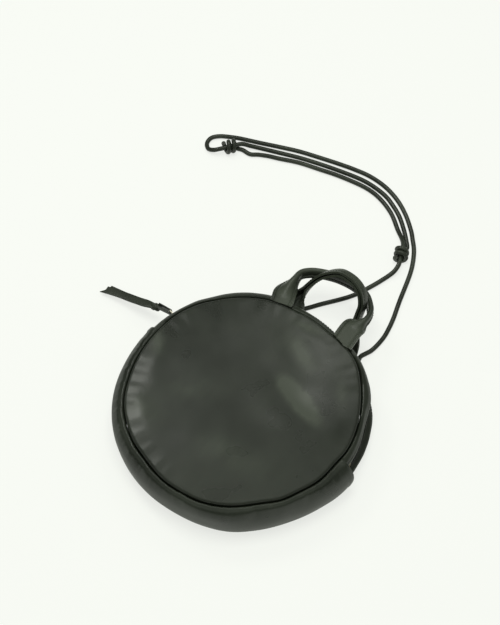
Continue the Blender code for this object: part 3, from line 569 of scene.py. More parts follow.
def finish_from(name, group, values, bump, metallic=0.0, sheen=0.0, dims=False, with_painted_highlights=False):
    """A material whose colour, roughness and bump come from a group.

    The first of the values is its plain colour. bump is a strength and a distance. Asked to,
    it dims where it is seen edge on, as grained leather does, and has the painted highlight patches.
    """
    finish = bpy.data.materials.new(name)
    finish.diffuse_color = next(iter(values.values()))
    tree = cleared_tree(finish)
    place = node_in(tree, "ShaderNodeTexCoord").outputs["Object"]
    # Painted highlights: this mask lightens the leather where the lamps' glints would fall.
    if with_painted_highlights:
        patches = node_in(tree, "ShaderNodeGroup", {"Vector": place}, node_tree=painted_highlight_group())
        values = {**values, "Painted highlight": patches.outputs["Mask"]}
    pattern = node_in(tree, "ShaderNodeGroup", {"Vector": place, **values}, node_tree=group).outputs
    relief = node_in(
        tree, "ShaderNodeBump", {"Height": pattern["Height"], "Strength": bump[0], "Distance": bump[1]},
    ).outputs[0]
    shine = SHINE
    if dims:
        facing = node_in(tree, "ShaderNodeLayerWeight", {"Blend": 0.5, "Normal": relief}).outputs["Facing"]
        shine = ranged(tree, facing, 0.42, 0.8, SHINE, SHINE_EDGE_ON)
    shader = node_in(
        tree, "ShaderNodeBsdfPrincipled",
        {
            "Base Color": pattern["Color"], "Roughness": pattern["Roughness"], "Normal": relief,
            "Metallic": metallic, "Sheen Weight": sheen, "Specular IOR Level": shine,
        },
    )
    node_in(tree, "ShaderNodeOutputMaterial", {"Surface": shader.outputs[0]})
    return finish


FINISHES = {}


def finishes():
    """The bag's materials by name, made once."""
    if FINISHES:
        return FINISHES
    dye = bpy.context.scene.round_bag_finish
    hide, rubbed_and_lit = (*dye.hide, 1), (*dye.rubbed_and_lit, 1)
    group = surface_group(
        "Soft leather",
        {"Dye": "colour", "Rubbed and lit": "colour", "Rub and sheen": "value", "Pores": "value", "Painted highlight": "value"}, leather,
    )
    for key, name, rub_and_sheen, pores, bump, more in (
        # The panel's leather carries the painted highlights.
        ("panel", "Panel leather", 0.35, 1300, (0.1, 0.0005), {"dims": True, "with_painted_highlights": True}),
        ("gusset", "Gusset leather", 0.5, 1300, (0.18, 0.0006), {"dims": True}),
        # The straps' rub of 1.7 is partly real rubbing and partly painted sheen: it lightens all their leather to
        # stand in for the light that they catch.
        ("strap", "Strap leather", 1.7, 1700, (0.1, 0.0005), {}),
        ("thong", "Thong leather", 0.6, 1700, (0.22, 0.0005), {"dims": True}),
        ("lace", "Round lace leather", 0.9, 1900, (0.25, 0.0005), {"dims": True}),
    ):
        values = {"Dye": hide, "Rubbed and lit": rubbed_and_lit, "Rub and sheen": rub_and_sheen, "Pores": pores}
        FINISHES[key] = finish_from(name, group, values, bump, **more)
    group = surface_group("Plain weave", {"Thread": "colour", "Gap": "colour", "Threads": "value"}, weave)
    for key, name, thread, gap, threads, bump, sheen in (
        ("tape", "Zip tape", (0.03, 0.03, 0.03), (0.008, 0.008, 0.008), 420, (0.5, 0.0003), 0.2),
        ("lining", "Lining cloth", (0.035, 0.034, 0.036), (0.01, 0.01, 0.01), 300, (0.5, 0.0004), 0.2),
        ("thread", "Sewing thread", (0.06, 0.062, 0.058), (0.02, 0.02, 0.02), 900, (0.4, 0.0002), 0.1),
    ):
        values = {"Thread": (*thread, 1), "Gap": (*gap, 1), "Threads": threads}
        FINISHES[key] = finish_from(name, group, values, bump, sheen=sheen)
    group = surface_group("Handled brass", {"Bright": "colour", "Dull": "colour", "Spots": "value"}, metal)
    for key, name, bright, dull, spots in (
        ("brass", "Pale brass", dye.brass, dye.dull_brass, 160),
        ("teeth", "Brass teeth", dye.brass, dye.dull_brass, 380),
        ("link", "Polished wire", (0.96, 0.93, 0.84), (0.7, 0.64, 0.5), 160),
    ):
        values = {"Bright": (*bright, 1), "Dull": (*dull, 1), "Spots": spots}
        FINISHES[key] = finish_from(name, group, values, (0.1, 0.0002), metallic=1.0)
    return FINISHES


# Shapes that several pieces share


def push_out(vert, out):
    """Moves a point away from the bag's axis."""
    scale = 1 + out / math.hypot(vert.co.x, vert.co.y)
    vert.co.x *= scale
    vert.co.y *= scale


def waved(bm, bulge=None, lift=None):
    """Moves a turned piece's points onto the uneven seam, and lifts them where asked."""
    for vert in bm.verts:
        x, y, z = vert.co
        radius = math.hypot(x, y)
        if lift:
            vert.co.z += lift(x, y)
        if radius < 1e-7:
            continue
        angle = math.atan2(y, x)
        # The front seam's waviness fades down the side and towards the panel's middle.
        fade = ramp(22, 44, z) * ramp(55, 112, radius)
        out = round_table(SEAM_WAVE, angle) * MM * fade
        if bulge:
            share = ramp(119.5, 125, radius) * ramp(1, 9, z)
            out += round_table(bulge, angle) * MM * share * (0.3 + 0.7 * ramp(47, 35, z))
        push_out(vert, out)


def zip_point(angle, out, level):
    """A point of the zip: angle from +Y towards -X, out from the tape, level from the zip's middle."""
    radius = TAPE_RADIUS + out
    return (-radius * math.sin(angle), radius * math.cos(angle), ZIP_HEIGHT + level)


def end_bow(angle):
    """1 near the zip's right end, where its strips are drawn in and apart, and 0 elsewhere."""
    return smoothstep(-48 * DEG, -68 * DEG, angle) if angle < 0 else 0.0


def strip_out(angle, height):
    """How far the strip beside the zip swells past its circle, at an angle from +X."""
    wave = FRONT_STRIP_WAVE if height > ZIP_HEIGHT else BACK_STRIP_WAVE
    off = abs(height - ZIP_HEIGHT)
    fade = ramp(22, 14, off) * (0.3 + 0.7 * ramp(6.5, 11, off))
    return round_table(wave, angle) * MM * fade


def rows_apart(angle):
    """How far a row of teeth has parted at this angle."""
    throat = SLIDER_ANGLE - SLIDER_LENGTH * 0.25 / TAPE_RADIUS
    full = SLIDER_ANGLE + SLIDER_LENGTH * 0.2 / TAPE_RADIUS
    return ROW_PARTED * smoothstep(throat, full, angle)


def link_place():
    """Where the pull link's own axes stand: out from the slider along x."""
    return (
        Matrix.Translation((0, 0, ZIP_HEIGHT))
        @ Matrix.Rotation(math.pi / 2 + SLIDER_ANGLE, 4, "Z")
        @ Matrix.Translation((LINK_HINGE, 0, 0))
        @ Matrix.Rotation(LINK_REST_ANGLE, 4, "Z")
    )


def thong_place():
    """Where the thong's own axes stand: along it from the link's far end."""
    return link_place() @ Matrix.Translation((LINK_LENGTH - LINK_WIRE, 0, 0)) @ Matrix.Rotation(THONG_TURN, 4, "Z")


def stitched_line(bm, points, ups, sewing, share):
    """Stitches along a line of points on a surface, each a rounded grain as long as a share of the pitch."""
    size = Matrix.Diagonal((sewing.pitch * share / 2, sewing.thread / 2, sewing.thread / 2, 1))
    run, due = 0.0, sewing.pitch / 2
    for here, after, up in zip(points, points[1:], ups):
        step = after - here
        along = step.normalized()
        side = up.cross(along).normalized()
        turn = Matrix((along, side, along.cross(side))).transposed().to_4x4()
        while due <= run + step.length:
            place = Matrix.Translation(here + along * (due - run))
            made = bmesh.ops.create_uvsphere(
                bm, u_segments=6, v_segments=4, radius=1, matrix=place @ turn @ size,
            )
            for face in {face for vert in made["verts"] for face in vert.link_faces}:
                face.material_index = THREAD_SLOT
            due += sewing.pitch
        run += step.length


# Pieces


COLOUR = {"subtype": "COLOR", "size": 3, "min": 0, "max": 1}


class BagShape(bpy.types.PropertyGroup):
    """Sizes of the panels and gussets that can be changed."""

    unevenness: bpy.props.FloatProperty(
        name="Unevenness", description="How far the filled panel's leather rises and dips",
        default=0.9 * MM, min=0, unit="LENGTH",
    )
    swell: bpy.props.FloatProperty(
        name="Swell", description="Strength of the soft swells of the front panel",
        default=1.0, min=0, subtype="FACTOR",
    )
    seam_pucker: bpy.props.FloatProperty(
        name="Seam pucker", description="Height of the small gathers along the seams",
        default=0.5 * MM, min=0, unit="LENGTH",
    )
    turn_steps: bpy.props.IntProperty(
        name="Steps round", description="Steps in which a panel is turned about its middle", default=240, min=24,
    )


class BagZip(bpy.types.PropertyGroup):
    """Sizes of the zip that can be changed."""

    tooth_width: bpy.props.FloatProperty(
        name="Tooth width", description="Width of a tooth along the tape", default=1.2 * MM, min=0, unit="LENGTH",
    )
    tooth_height: bpy.props.FloatProperty(
        name="Tooth height", description="Height of a tooth through the tape",
        default=2.9 * MM, min=0, unit="LENGTH",
    )


class BagSewing(bpy.types.PropertyGroup):
    """Sizes of the straps' sewing that can be changed."""

    pitch: bpy.props.FloatProperty(
        name="Stitch pitch", description="From one stitch to the next",
        default=3.4 * MM, min=1 * MM, unit="LENGTH",
    )
    thread: bpy.props.FloatProperty(
        name="Thread", description="Thickness of the sewing thread", default=0.55 * MM, min=0, unit="LENGTH",
    )
    hem: bpy.props.FloatProperty(
        name="Hem", description="Width of the strap's turned edge", default=3.6 * MM, min=0, unit="LENGTH",
    )


class BagFinish(bpy.types.PropertyGroup):
    """Colours that can be changed."""

    hide: bpy.props.FloatVectorProperty(
        name="Dye", description="Colour of the leather's dye", default=(0.0112, 0.0140, 0.0098), **COLOUR,
    )
    # This lighter colour serves both the rubbed patches and the painted highlights and sheen.
    rubbed_and_lit: bpy.props.FloatVectorProperty(
        name="Rubbed and lit", description="Colour of the leather where it is rubbed",
        default=(0.047, 0.055, 0.041), **COLOUR,
    )
    brass: bpy.props.FloatVectorProperty(
        name="Brass", description="Colour of the bright brass", default=(0.78, 0.70, 0.52), **COLOUR,
    )
    dull_brass: bpy.props.FloatVectorProperty(
        name="Dull brass", description="Colour of the brass where it has dulled",
        default=(0.36, 0.30, 0.20), **COLOUR,
    )


class BagStage(bpy.types.PropertyGroup):
    """The view and the light."""

    azimuth: bpy.props.FloatProperty(
        name="Azimuth", description="Way the camera looks, from +Y", default=39 * DEG, subtype="ANGLE",
    )
    elevation: bpy.props.FloatProperty(
        name="Elevation", description="Height of the camera above the horizon", default=57.9 * DEG, subtype="ANGLE",
    )
    distance: bpy.props.FloatProperty(
        name="Distance", description="Camera to its target", default=2.0, unit="LENGTH",
    )
    field: bpy.props.FloatProperty(
        name="Field of view", description="Height of the picture as an angle",
        default=2 * math.atan(312.5 / 1927), subtype="ANGLE",
    )
    floor: bpy.props.FloatVectorProperty(
        name="Floor", description="Colour of the floor", default=(0.93, 0.945, 0.915), **COLOUR,
    )
    floor_seen: bpy.props.FloatVectorProperty(
        name="Floor as seen", description="Even brightness of the floor", default=(0.967, 0.984, 0.943), **COLOUR,
    )
    shadow: bpy.props.FloatProperty(
        name="Shadow", description="Strength of the shadows on the floor",
        default=0.24, min=0, max=1, subtype="FACTOR",
    )


def stage_camera(scene, look, forwards, right, upwards):
    """Makes the camera, which looks down at the bag."""
    sight = forwards * math.cos(look.elevation) - upwards * math.sin(look.elevation)
    across, ahead, high = CAMERA_TARGET
    target = right * across + forwards * ahead + upwards * high
    lens = bpy.data.cameras.new("camera")
    lens.sensor_fit = "VERTICAL"
    lens.sensor_height = SENSOR
    lens.lens = SENSOR / 2 / math.tan(look.field / 2)
    lens.clip_end = 20
    camera = bpy.data.objects.new("camera", lens)
    scene.collection.objects.link(camera)
    turn = Matrix((right, right.cross(sight), -sight)).transposed().to_4x4()
    camera.matrix_world = Matrix.Translation(target - sight * look.distance) @ turn
    scene.camera = camera


def stage_floor(scene, look):
    """Makes the pale floor, just under the bag."""
    bm = bmesh.new()
    drop = Matrix.Translation((0, 0, -0.2 * MM))
    bmesh.ops.create_grid(bm, x_segments=4, y_segments=4, size=6, matrix=drop)
    mesh = bpy.data.meshes.new("floor")
    bm.to_mesh(mesh)
    bm.free()
    floor = bpy.data.objects.new("floor", mesh)
    scene.collection.objects.link(floor)
    paper = bpy.data.materials.new("Floor paper")
    tree = cleared_tree(paper)
    ray = node_in(tree, "ShaderNodeLightPath").outputs
    matt = node_in(tree, "ShaderNodeBsdfDiffuse", {"Color": (*look.floor, 1)}).outputs[0]
    even = node_in(tree, "ShaderNodeEmission", {"Color": (*look.floor_seen, 1)}).outputs[0]
    dim = node_in(tree, "ShaderNodeEmission", {"Color": (*FLOOR_REFLECTED, 1)}).outputs[0]
    # The camera sees a mostly even brightness, as in an overexposed studio, and the leather a dimmer one.
    share = maths(tree, "MULTIPLY", ray["Is Camera Ray"], 1 - look.shadow)
    seen = node_in(tree, "ShaderNodeMixShader", {0: share, 1: matt, 2: even}).outputs[0]
    both = node_in(tree, "ShaderNodeMixShader", {0: ray["Is Glossy Ray"], 1: seen, 2: dim}).outputs[0]
    node_in(tree, "ShaderNodeOutputMaterial", {"Surface": both})
    mesh.materials.append(paper)


def stage_sky(scene, look):
    """Makes the studio's light from all round, and the plain backdrop that the camera sees."""
    scene.world = bpy.data.worlds.new("studio")
    tree = cleared_tree(scene.world)
    place = node_in(tree, "ShaderNodeTexCoord").outputs["Generated"]
    height = node_in(tree, "ShaderNodeSeparateXYZ", {0: place}).outputs["Z"]
    tones = node_in(tree, "ShaderNodeValToRGB", {"Fac": height})
    elements = tones.color_ramp.elements
    for level, _ in SKY[1:-1]:
        elements.new(level)
    for element, (_, tone) in zip(elements, SKY):
        element.color = (*(tone * tint for tint in SKY_TINT), 1)
    sky = node_in(tree, "ShaderNodeBackground", {"Color": tones.outputs[0], "Strength": 1.0}).outputs[0]
    plain = node_in(tree, "ShaderNodeBackground", {"Color": (*look.floor_seen, 1), "Strength": 1.0}).outputs[0]
    seen = node_in(tree, "ShaderNodeLightPath").outputs["Is Camera Ray"]
    both = node_in(tree, "ShaderNodeMixShader", {0: seen, 1: sky, 2: plain}).outputs[0]
    node_in(tree, "ShaderNodeOutputWorld", {"Surface": both})


def stage_lamps(scene, forwards, right, upwards):
    """Makes the lamps. The ceiling's isn't reflected in the leather."""
    middle = Vector((0, 0, 30 * MM))
    for name, turn, lift, reach, size, power in LAMPS:
        lamp = bpy.data.lights.new(name, "AREA")
        lamp.shape = "RECTANGLE"
        lamp.size, lamp.size_y = size
        lamp.energy = power
        lamp.color = LAMP_TINT
        holder = bpy.data.objects.new(name, lamp)
        scene.collection.objects.link(holder)
        holder.visible_glossy = name != "ceiling"
        level = forwards * math.cos(turn * DEG) + right * math.sin(turn * DEG)
        holder.location = middle + (level * math.cos(lift * DEG) + upwards * math.sin(lift * DEG)) * reach
        holder.rotation_euler = (middle - holder.location).to_track_quat("-Z", "Y").to_euler()


class BAG_OT_stage(bpy.types.Operator):
    """Makes the pale floor, the soft studio light and the camera"""

    bl_idname = "round_bag.stage"
    bl_label = "Stage"

    def execute(self, context):
        scene, look = context.scene, context.scene.round_bag_stage
        forwards = Vector((-math.sin(look.azimuth), math.cos(look.azimuth), 0))
        right = Vector((math.cos(look.azimuth), math.sin(look.azimuth), 0))
        upwards = Vector((0, 0, 1))
        stage_camera(scene, look, forwards, right, upwards)
        stage_floor(scene, look)
        stage_sky(scene, look)
        stage_lamps(scene, forwards, right, upwards)
        scene.view_settings.view_transform = "Standard"
        return {"FINISHED"}


def knot_turns(knot):
    """Points of a knot wound round the other lace, from under that lace at its far end."""
    x, y, heading = knot
    along = Vector((math.cos(heading * DEG), math.sin(heading * DEG), 0))
    side = Vector((along.y, -along.x, 0))
    up = Vector((0, 0, 1))
    radius = LACE + KNOT_GAP
    axis = Vector((x * MM, y * MM, LACE_FLOOR_GAP + LACE / 2 + radius))
    start = KNOT_PITCH * KNOT_TURNS / 2
    points = [axis + along * (start + KNOT_PITCH) + side * (LACE - KNOT_GAP) - up * radius]
    count = round(KNOT_STEPS * KNOT_TURNS)
    for i in range(count + 1):
        turn = -math.pi / 2 - ROUND * KNOT_TURNS * i / count
        run = start * (1 - 2 * i / count)
        points.append(axis + along * run + (side * math.cos(turn) + up * math.sin(turn)) * radius)
    return points


class BAG_OT_laces(bpy.types.Operator):
    """Makes the two laces, each with the knot that it ties round the other"""

    bl_idname = "round_bag.laces"
    bl_label = "Laces"

    def execute(self, context):
        floor = LACE_FLOOR_GAP + LACE / 2
        for name, route, knot, node in (
            ("lace_right", RIGHT_ROUTE, RIGHT_KNOT, "cord_right"), ("lace_left", LEFT_ROUTE, LEFT_KNOT, "cord_left"),
        ):
            given = [(x * MM, y * MM, floor + z * MM) for x, y, z in route] + [tuple(p) for p in knot_turns(knot)]
            points = smooth_path(given, 5)
            curve = bpy.data.curves.new(name, "CURVE")
            curve.dimensions = "3D"
            curve.bevel_depth = LACE / 2
            curve.bevel_resolution = 4
            curve.use_fill_caps = True
            line = curve.splines.new("POLY")
            line.points.add(len(points) - 1)
            for i, point in enumerate(points):
                line.points[i].co = (*point, 1)
            curve.materials.append(finishes()["lace"])
            lace = bpy.data.objects.new(name, curve)
            context.scene.collection.objects.link(lace)
            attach(lace, "bag")
            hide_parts(node)
        return {"FINISHED"}


def panel_lift(shape):
    """How far the filled front panel rises or dips at a point."""
    def lift(x, y):
        inside = 1 - ramp(78, 112, math.hypot(x, y))
        soft = wobble((x, y, 0), 62 * MM, 2.0) + 0.45 * wobble((x, y, 0), 27 * MM, 5.0)
        swell = 0.0
        for mid_x, mid_y, length, width, heading, height in SWELLS:
            along, across = x / MM - mid_x, y / MM - mid_y
            turn = heading * DEG
            run = (along * math.cos(turn) + across * math.sin(turn)) / length
            off = (across * math.cos(turn) - along * math.sin(turn)) / width
            swell += height * math.exp(-(run**2 + off**2) / 2)
        edge = 1 - ramp(100, 114, math.hypot(x, y))
        return shape.unevenness * inside * soft + shape.swell * MM * swell * edge
    return lift


class BAG_OT_panels(bpy.types.Operator):
    """Makes the filled front panel and the flat back panel"""

    bl_idname = "round_bag.panels"
    bl_label = "Panels"

    def execute(self, context):
        shape = context.scene.round_bag_shape
        rim = SEAM_RADIUS - 0.15 * MM
        edge = rim - EDGE_ROLL
        crown = [(edge * q, DEPTH + crown_height(q)) for q in shares(26)[:-1]]
        roll = [
            (edge + EDGE_ROLL * math.sin(turn), DEPTH - EDGE_ROLL * (1 - math.cos(turn)))
            for turn in (math.pi / 2 * q for q in shares(6))
        ]
        under = DEPTH - EDGE_ROLL
        front = crown + roll + [(rim - 0.1 * MM, under - 3 * MM), (rim - 0.2 * MM, under - FLANGE)]
        bm = spun(walled(front, LEATHER), 0, ROUND, shape.turn_steps, False)
        waved(bm, lift=panel_lift(shape))
        for vert in bm.verts:
            x, y, _ = vert.co
            radius, angle = math.hypot(x, y), math.atan2(y, x)
            near = ramp(96, 112, radius) * (1 - ramp(116, 119, radius))
            gathers = wobble((math.cos(angle) * 0.35, math.sin(angle) * 0.35, 0), 26 * MM, 1.0)
            vert.co.z += shape.seam_pucker * near * gathers
        piece_of("panel_front", bm, "bag", ["panel"], ["front_panel"])
        back = [(rim - 1.2 * MM, EDGE_ROLL + FLANGE), (rim, EDGE_ROLL)]
        back += [
            (edge + EDGE_ROLL * math.cos(turn), EDGE_ROLL * (1 - math.sin(turn)))
            for turn in (math.pi / 2 * q for q in shares(6)[1:])
        ]
        back += [(edge * q, 0.0) for q in (0.75, 0.5, 0.25, 0)]
        bm = spun(walled(back, LEATHER), 0, ROUND, 144, False)
        piece_of("panel_back", bm, "bag", ["panel"], ["back_panel"])
        return {"FINISHED"}


class BAG_OT_linings(bpy.types.Operator):
    """Makes the cloth linings inside the panels and the lower gusset"""

    bl_idname = "round_bag.linings"
    bl_label = "Linings"

    def execute(self, context):
        front = [(CLOTH_RADIUS * q, DEPTH - 2 * MM + crown_height(q)) for q in shares(12)]
        back = [(CLOTH_RADIUS * q, 2.5 * MM) for q in shares(6)]
        wall = BULGE_RADIUS - LEATHER - 0.4 * MM
        band = [
            (wall - inset * MM, height * MM)
            for inset, height in ((3.2, 40.4), (1, 35), (0.3, 28), (0.3, 20), (1.2, 13), (3.2, 9.6))
        ]
        start = math.pi / 2 + ZIP_HALF_ANGLE + 11 * MM / SEAM_RADIUS
        sweep = ROUND - 2 * (start - math.pi / 2)
        for name, node, outline, begin, turn, closed in (
            ("cloth_front", "lining_front", front, 0, ROUND, False),
            ("cloth_back", "lining_back", back, 0, ROUND, False),
            ("cloth_gusset", "lining_gusset", band, start, sweep, True),
        ):
            bm = spun(walled(outline, CLOTH), begin, turn, 96, closed)
            piece_of(name, bm, "bag", ["lining"], [node])
        return {"FINISHED"}


class BAG_OT_lower_gusset(bpy.types.Operator):
    """Makes the wide leather band round the lower half, with its folded ends"""

    bl_idname = "round_bag.lower_gusset"
    bl_label = "Lower gusset"

    def execute(self, context):
        shape = context.scene.round_bag_shape
        outline = [(r * MM, z * MM) for r, z in GUSSET_OUTER + GUSSET_INNER]
        start = math.pi / 2 + ZIP_HALF_ANGLE
        sweep = ROUND - 2 * ZIP_HALF_ANGLE
        bm = spun(outline, start, sweep, 260, True)
        waved(bm, bulge=BULGE_WAVE)
        for vert in bm.verts:
            x, y, z = vert.co
            radius, angle = math.hypot(x, y), math.atan2(y, x) % ROUND
            ends = min(abs(angle - start), abs(angle - start - sweep), abs(angle + ROUND - start - sweep))
            # Gathers run down from the front seam over the shoulder.
            ring = (math.cos(angle) * 0.5, math.sin(angle) * 0.5, 0)
            shoulder = ramp(34, 45, z) * ramp(118.5, 120.5, radius)
            gathers = 1.5 * wobble(ring, 31 * MM, 8.0) + 0.9 * wobble(ring, 13 * MM, 4.0)
            middle = ramp(6, 16, z) * (1 - ramp(34, 44, z))
            slow = wobble((x * 0.8, y * 0.8, z * 0.4), 30 * MM, 3.0)
            out = shape.seam_pucker * gathers * shoulder + 0.7 * MM * middle * slow
            # The ends are folded over, so they stand a little proud.
            fold = 1 - ramp(4.5, 6, ends * radius)
            out += 0.7 * MM * fold * ramp(119, 121, radius)
            push_out(vert, out)
            vert.co.z += 0.5 * shape.seam_pucker * gathers * shoulder
        piece_of("gusset_lower", bm, "bag", ["gusset"], ["lower_gusset"])
        return {"FINISHED"}


class BAG_OT_zip_strips(bpy.types.Operator):
    """Makes the two leather strips on either side of the zip, each folded and sewn along it"""

    bl_idname = "round_bag.zip_strips"
    bl_label = "Zip strips"

    def execute(self, context):
        sewing = context.scene.round_bag_sewing
        gap = 0.3 * MM / SEAM_RADIUS
        start = math.pi / 2 - ZIP_HALF_ANGLE + gap
        sweep = 2 * (ZIP_HALF_ANGLE - gap)
        for name, node, side, seed in (
            ("strip_front", "zip_gusset_front", 1, 1.0), ("strip_back", "zip_gusset_back", -1, 6.0),
        ):
            outline = [(r * MM, z * MM) for r, z in STRIP_OUTER + STRIP_INNER]
            if side < 0:
                # The back strip mirrors the front one, and its foot stands higher.
                outline = [(r, 2 * ZIP_HEIGHT - z) for r, z in outline]
                outline = [(r, z + (1.2 * MM if z < 12 * MM else 0.0)) for r, z in outline]
            bm = spun(outline, start, sweep, 220, True)
            waved(bm)
            for vert in bm.verts:
                x, y, z = vert.co
                radius, off = math.hypot(x, y), abs(z - ZIP_HEIGHT)
                slow = wobble((x, y, z), 24 * MM, seed) + 0.4 * wobble((x, y, z), 9 * MM, seed)
                out = 0.35 * MM * slow * ramp(119, 123, radius) * ramp(3, 9, off)
                out += strip_out(math.atan2(y, x), z) * ramp(118.5, 121.5, radius)
                bow = end_bow(math.atan2(-x, y))
                pull = bow * ramp(12, 6, off) * ramp(119, 121, radius)
                push_out(vert, out - LIPS_IN * pull)
                vert.co.z += side * LIPS_APART * bow * ramp(15, 6, off)
            level = ZIP_HEIGHT + side * STRIP_SEWING
            line, ups = [], []
            for share in shares(160):
                angle = start + sweep * share
                way = Vector((math.cos(angle), math.sin(angle), 0))
                line.append(way * (STRIP_FACE + strip_out(angle, level)) + Vector((0, 0, level)))
                ups.append(way)
            stitched_line(bm, line, ups, sewing, STRIP_STITCH)
            piece_of(name, bm, "bag", ["gusset", "thread"], [node])
        return {"FINISHED"}


def tooth_shape(settings, side):
    """One tooth at the zip's start: legs that grip the tape, and a nose with a rounded head."""
    bm = bmesh.new()
    width, height = settings.tooth_width, settings.tooth_height
    body = Matrix.Translation((0, 0, side * TOOTH_MIDDLE)) @ Matrix.Diagonal((width, height, TOOTH_BLOCK, 1))
    bmesh.ops.create_cube(bm, size=1, matrix=body)
    head = min(bm.faces, key=lambda face: side * face.calc_center_median().z)
    bmesh.ops.inset_region(bm, faces=[head], thickness=0.22 * MM)
    pushed = bmesh.ops.extrude_face_region(bm, geom=[head])
    verts = [part for part in pushed["geom"] if isinstance(part, bmesh.types.BMVert)]
    bmesh.ops.translate(bm, verts=verts, vec=(0, 0, -side * TOOTH_NOSE))
    corners = [
        edge for edge in bm.edges
        if edge.calc_length() > 0.5 * MM and abs((edge.verts[0].co - edge.verts[1].co).normalized().z) < 0.3
    ]
    bmesh.ops.bevel(
        bm, geom=corners, offset=0.12 * MM, offset_type="OFFSET", affect="EDGES", segments=1, profile=0.5, material=-1,
    )
    return bm


def tape_section(angle, side):
    """Closed outline of a side's tape at an angle of the zip, with the bead that its teeth grip."""
    flat, apart = TAPE_THICKNESS / 2, rows_apart(angle)
    near, far = BEAD_NEAR + apart, BEAD_FAR + apart
    upper = [(BEAD * 0.5, near), (BEAD, near + 0.5 * MM), (BEAD * 0.8, far - 0.5 * MM), (flat, far)]
    upper += [(flat, level) for level in (5.5 * MM, 7 * MM, 9.5 * MM, TAPE_WIDTH)]
    ring = []
    for out, level in upper + [(-out, level) for out, level in reversed(upper)]:
        # Beyond its bead the tape follows the strip that it is sewn to.
        under = strip_out(angle + math.pi / 2, ZIP_HEIGHT + side * level)
        under *= 1 - ramp(7.5, 3.4, level)
        ring.append(zip_point(angle, out + under, side * level))
    return ring


class BAG_OT_zip_chains(bpy.types.Operator):
    """Makes each side of the zip: the woven tape with its beaded edge and its row of brass teeth"""

    bl_idname = "round_bag.zip_chains"
    bl_label = "Zip chains"

    def execute(self, context):
        settings = context.scene.round_bag_zip
        tuck = ZIP_HALF_ANGLE + TAPE_TUCK / TAPE_RADIUS
        pitch = TOOTH_PITCH / TAPE_RADIUS
        for name, node, side in (("zip_front", "zip_chain_front", 1), ("zip_back", "zip_chain_back", -1)):
            bm = swept([tape_section(tuck * (2 * share - 1), side) for share in shares(300)])
            tooth = bpy.data.meshes.new("tooth")
            shape = tooth_shape(settings, side)
            for face in shape.faces:
                face.material_index = TEETH_SLOT
            shape.to_mesh(tooth)
            shape.free()
            # The two rows stand half a pitch apart, so that their teeth interlock.
            angle = -ROW_HALF_ANGLE + (2.5 if side > 0 else 2) * pitch
            while angle < ROW_HALF_ANGLE - 2 * pitch:
                before = len(bm.verts)
                bm.from_mesh(tooth)
                bm.verts.ensure_lookup_table()
                place = (
                    Matrix.Translation((0, 0, ZIP_HEIGHT + side * rows_apart(angle)))
                    @ Matrix.Rotation(angle, 4, "Z")
                    @ Matrix.Translation((0, TAPE_RADIUS, 0))
                )
                bmesh.ops.transform(bm, verts=bm.verts[before:], matrix=place)
                angle += pitch
            bpy.data.meshes.remove(tooth)
            piece_of(name, bm, "bag", ["tape", "teeth"], [node], sharp=40)
        return {"FINISHED"}


class BAG_OT_zip_fittings(bpy.types.Operator):
    """Finishes the slider and the stops, and makes the wire link"""

    bl_idname = "round_bag.zip_fittings"
    bl_label = "Zip fittings"

    def execute(self, context):
        finish_node("slider_body", finishes()["brass"], bevel=0.18 * MM)
        for name in ("zip_top_stop_front", "zip_top_stop_back", "zip_bottom_stop"):
            finish_node(name, finishes()["teeth"], bevel=0.12 * MM)
        half = (LINK_WIDTH - LINK_WIRE) / 2
        corner = half / 2
        run = LINK_LENGTH - LINK_WIRE - corner
        # From the hinge's middle round to the far end, then back along the other side.
        line = [(x * MM, half * share) for x, share in ((0, 0), (0, 0.45), (0.12, 0.78), (0.5, 0.95), (1.1, 1))]
        line += [(run * share, half) for share in (0.35, 0.7, 1)]
        for turn in (math.pi * share for share in shares(12)[1:-1]):
            far, wide = squared(math.sin(turn), LINK_SQUARE), squared(math.cos(turn), LINK_SQUARE)
            line.append((run + corner * far, half * wide))
        line += [(x, -y) for x, y in reversed(line[1:8])]
        place, across = link_place(), Vector((0, 1, 0))
        rings = []
        for i, (x, z) in enumerate(line):
            before, after = line[i - 1], line[(i + 1) % len(line)]
            side = across.cross(Vector((after[0] - before[0], 0, after[1] - before[1])).normalized())
            rings.append([
                place @ (Vector((x, 0, z)) + (side * math.cos(turn) + across * math.sin(turn)) * LINK_WIRE / 2)
                for turn in turns(12)
            ])
        piece_of("link", swept(rings, closed=True), "link", ["link"], ["pull_link"])
        return {"FINISHED"}


def thong_drop(x):
    """How far the thong has sunk at x: it leaves the link level and settles to the floor."""
    share = min(1.0, max(0.0, x / THONG_END))
    return THONG_SINK * share * smoothstep(0, THONG_KNOT, x)


def thong_loop(place):
    """The loop round the wire: a flat strip that runs out along one side and back along the other."""
    middle = 1.1 * MM + THONG_LEATHER / 2
    neck = [(THONG_KNOT + 1 * MM, middle)] + [(THONG_KNOT * q, middle) for q in (0.75, 0.5, 0.25, 0)]
    bend = [(-middle * math.sin(math.pi * q), middle * math.cos(math.pi * q)) for q in shares(8)[1:-1]]
    line = neck + bend + [(x, -y) for x, y in reversed(neck)]
    section = ((-1, -0.8), (-0.85, -1), (0.85, -1), (1, -0.8), (1, 0.8), (0.85, 1), (-0.85, 1), (-1, 0.8))
    rings = []
    for i, (x, y) in enumerate(line):
        step = path_step(line, i) * THONG_LEATHER / 2
        half = (2.4 + 0.5 * ramp(3, 9, x)) * MM
        rings.append([place @ Vector((x - step.y * out, y + step.x * out, across * half)) for across, out in section])
    return swept(rings)


def knot_band(place, start, tilt, radius, thick):
    """A band of the thong's knot, drawn tight round the neck."""
    rings = []
    for turn in turns(24):
        way = Vector((0, math.cos(turn), 0.82 * math.sin(turn)))
        centre = Vector((start + tilt * radius * math.sin(turn), 0, 0)) + way * radius * 0.72
        centre.z -= thong_drop(centre.x)
        along = Vector((1, 0, -0.2 * math.sin(turn)))
        rings.append([
            place @ (centre + along * squared(math.cos(spot), BAND_SQUARE) * 2.5 * MM + way * math.sin(spot) * thick)
            for spot in turns(10)
        ])
    return swept(rings, closed=True)


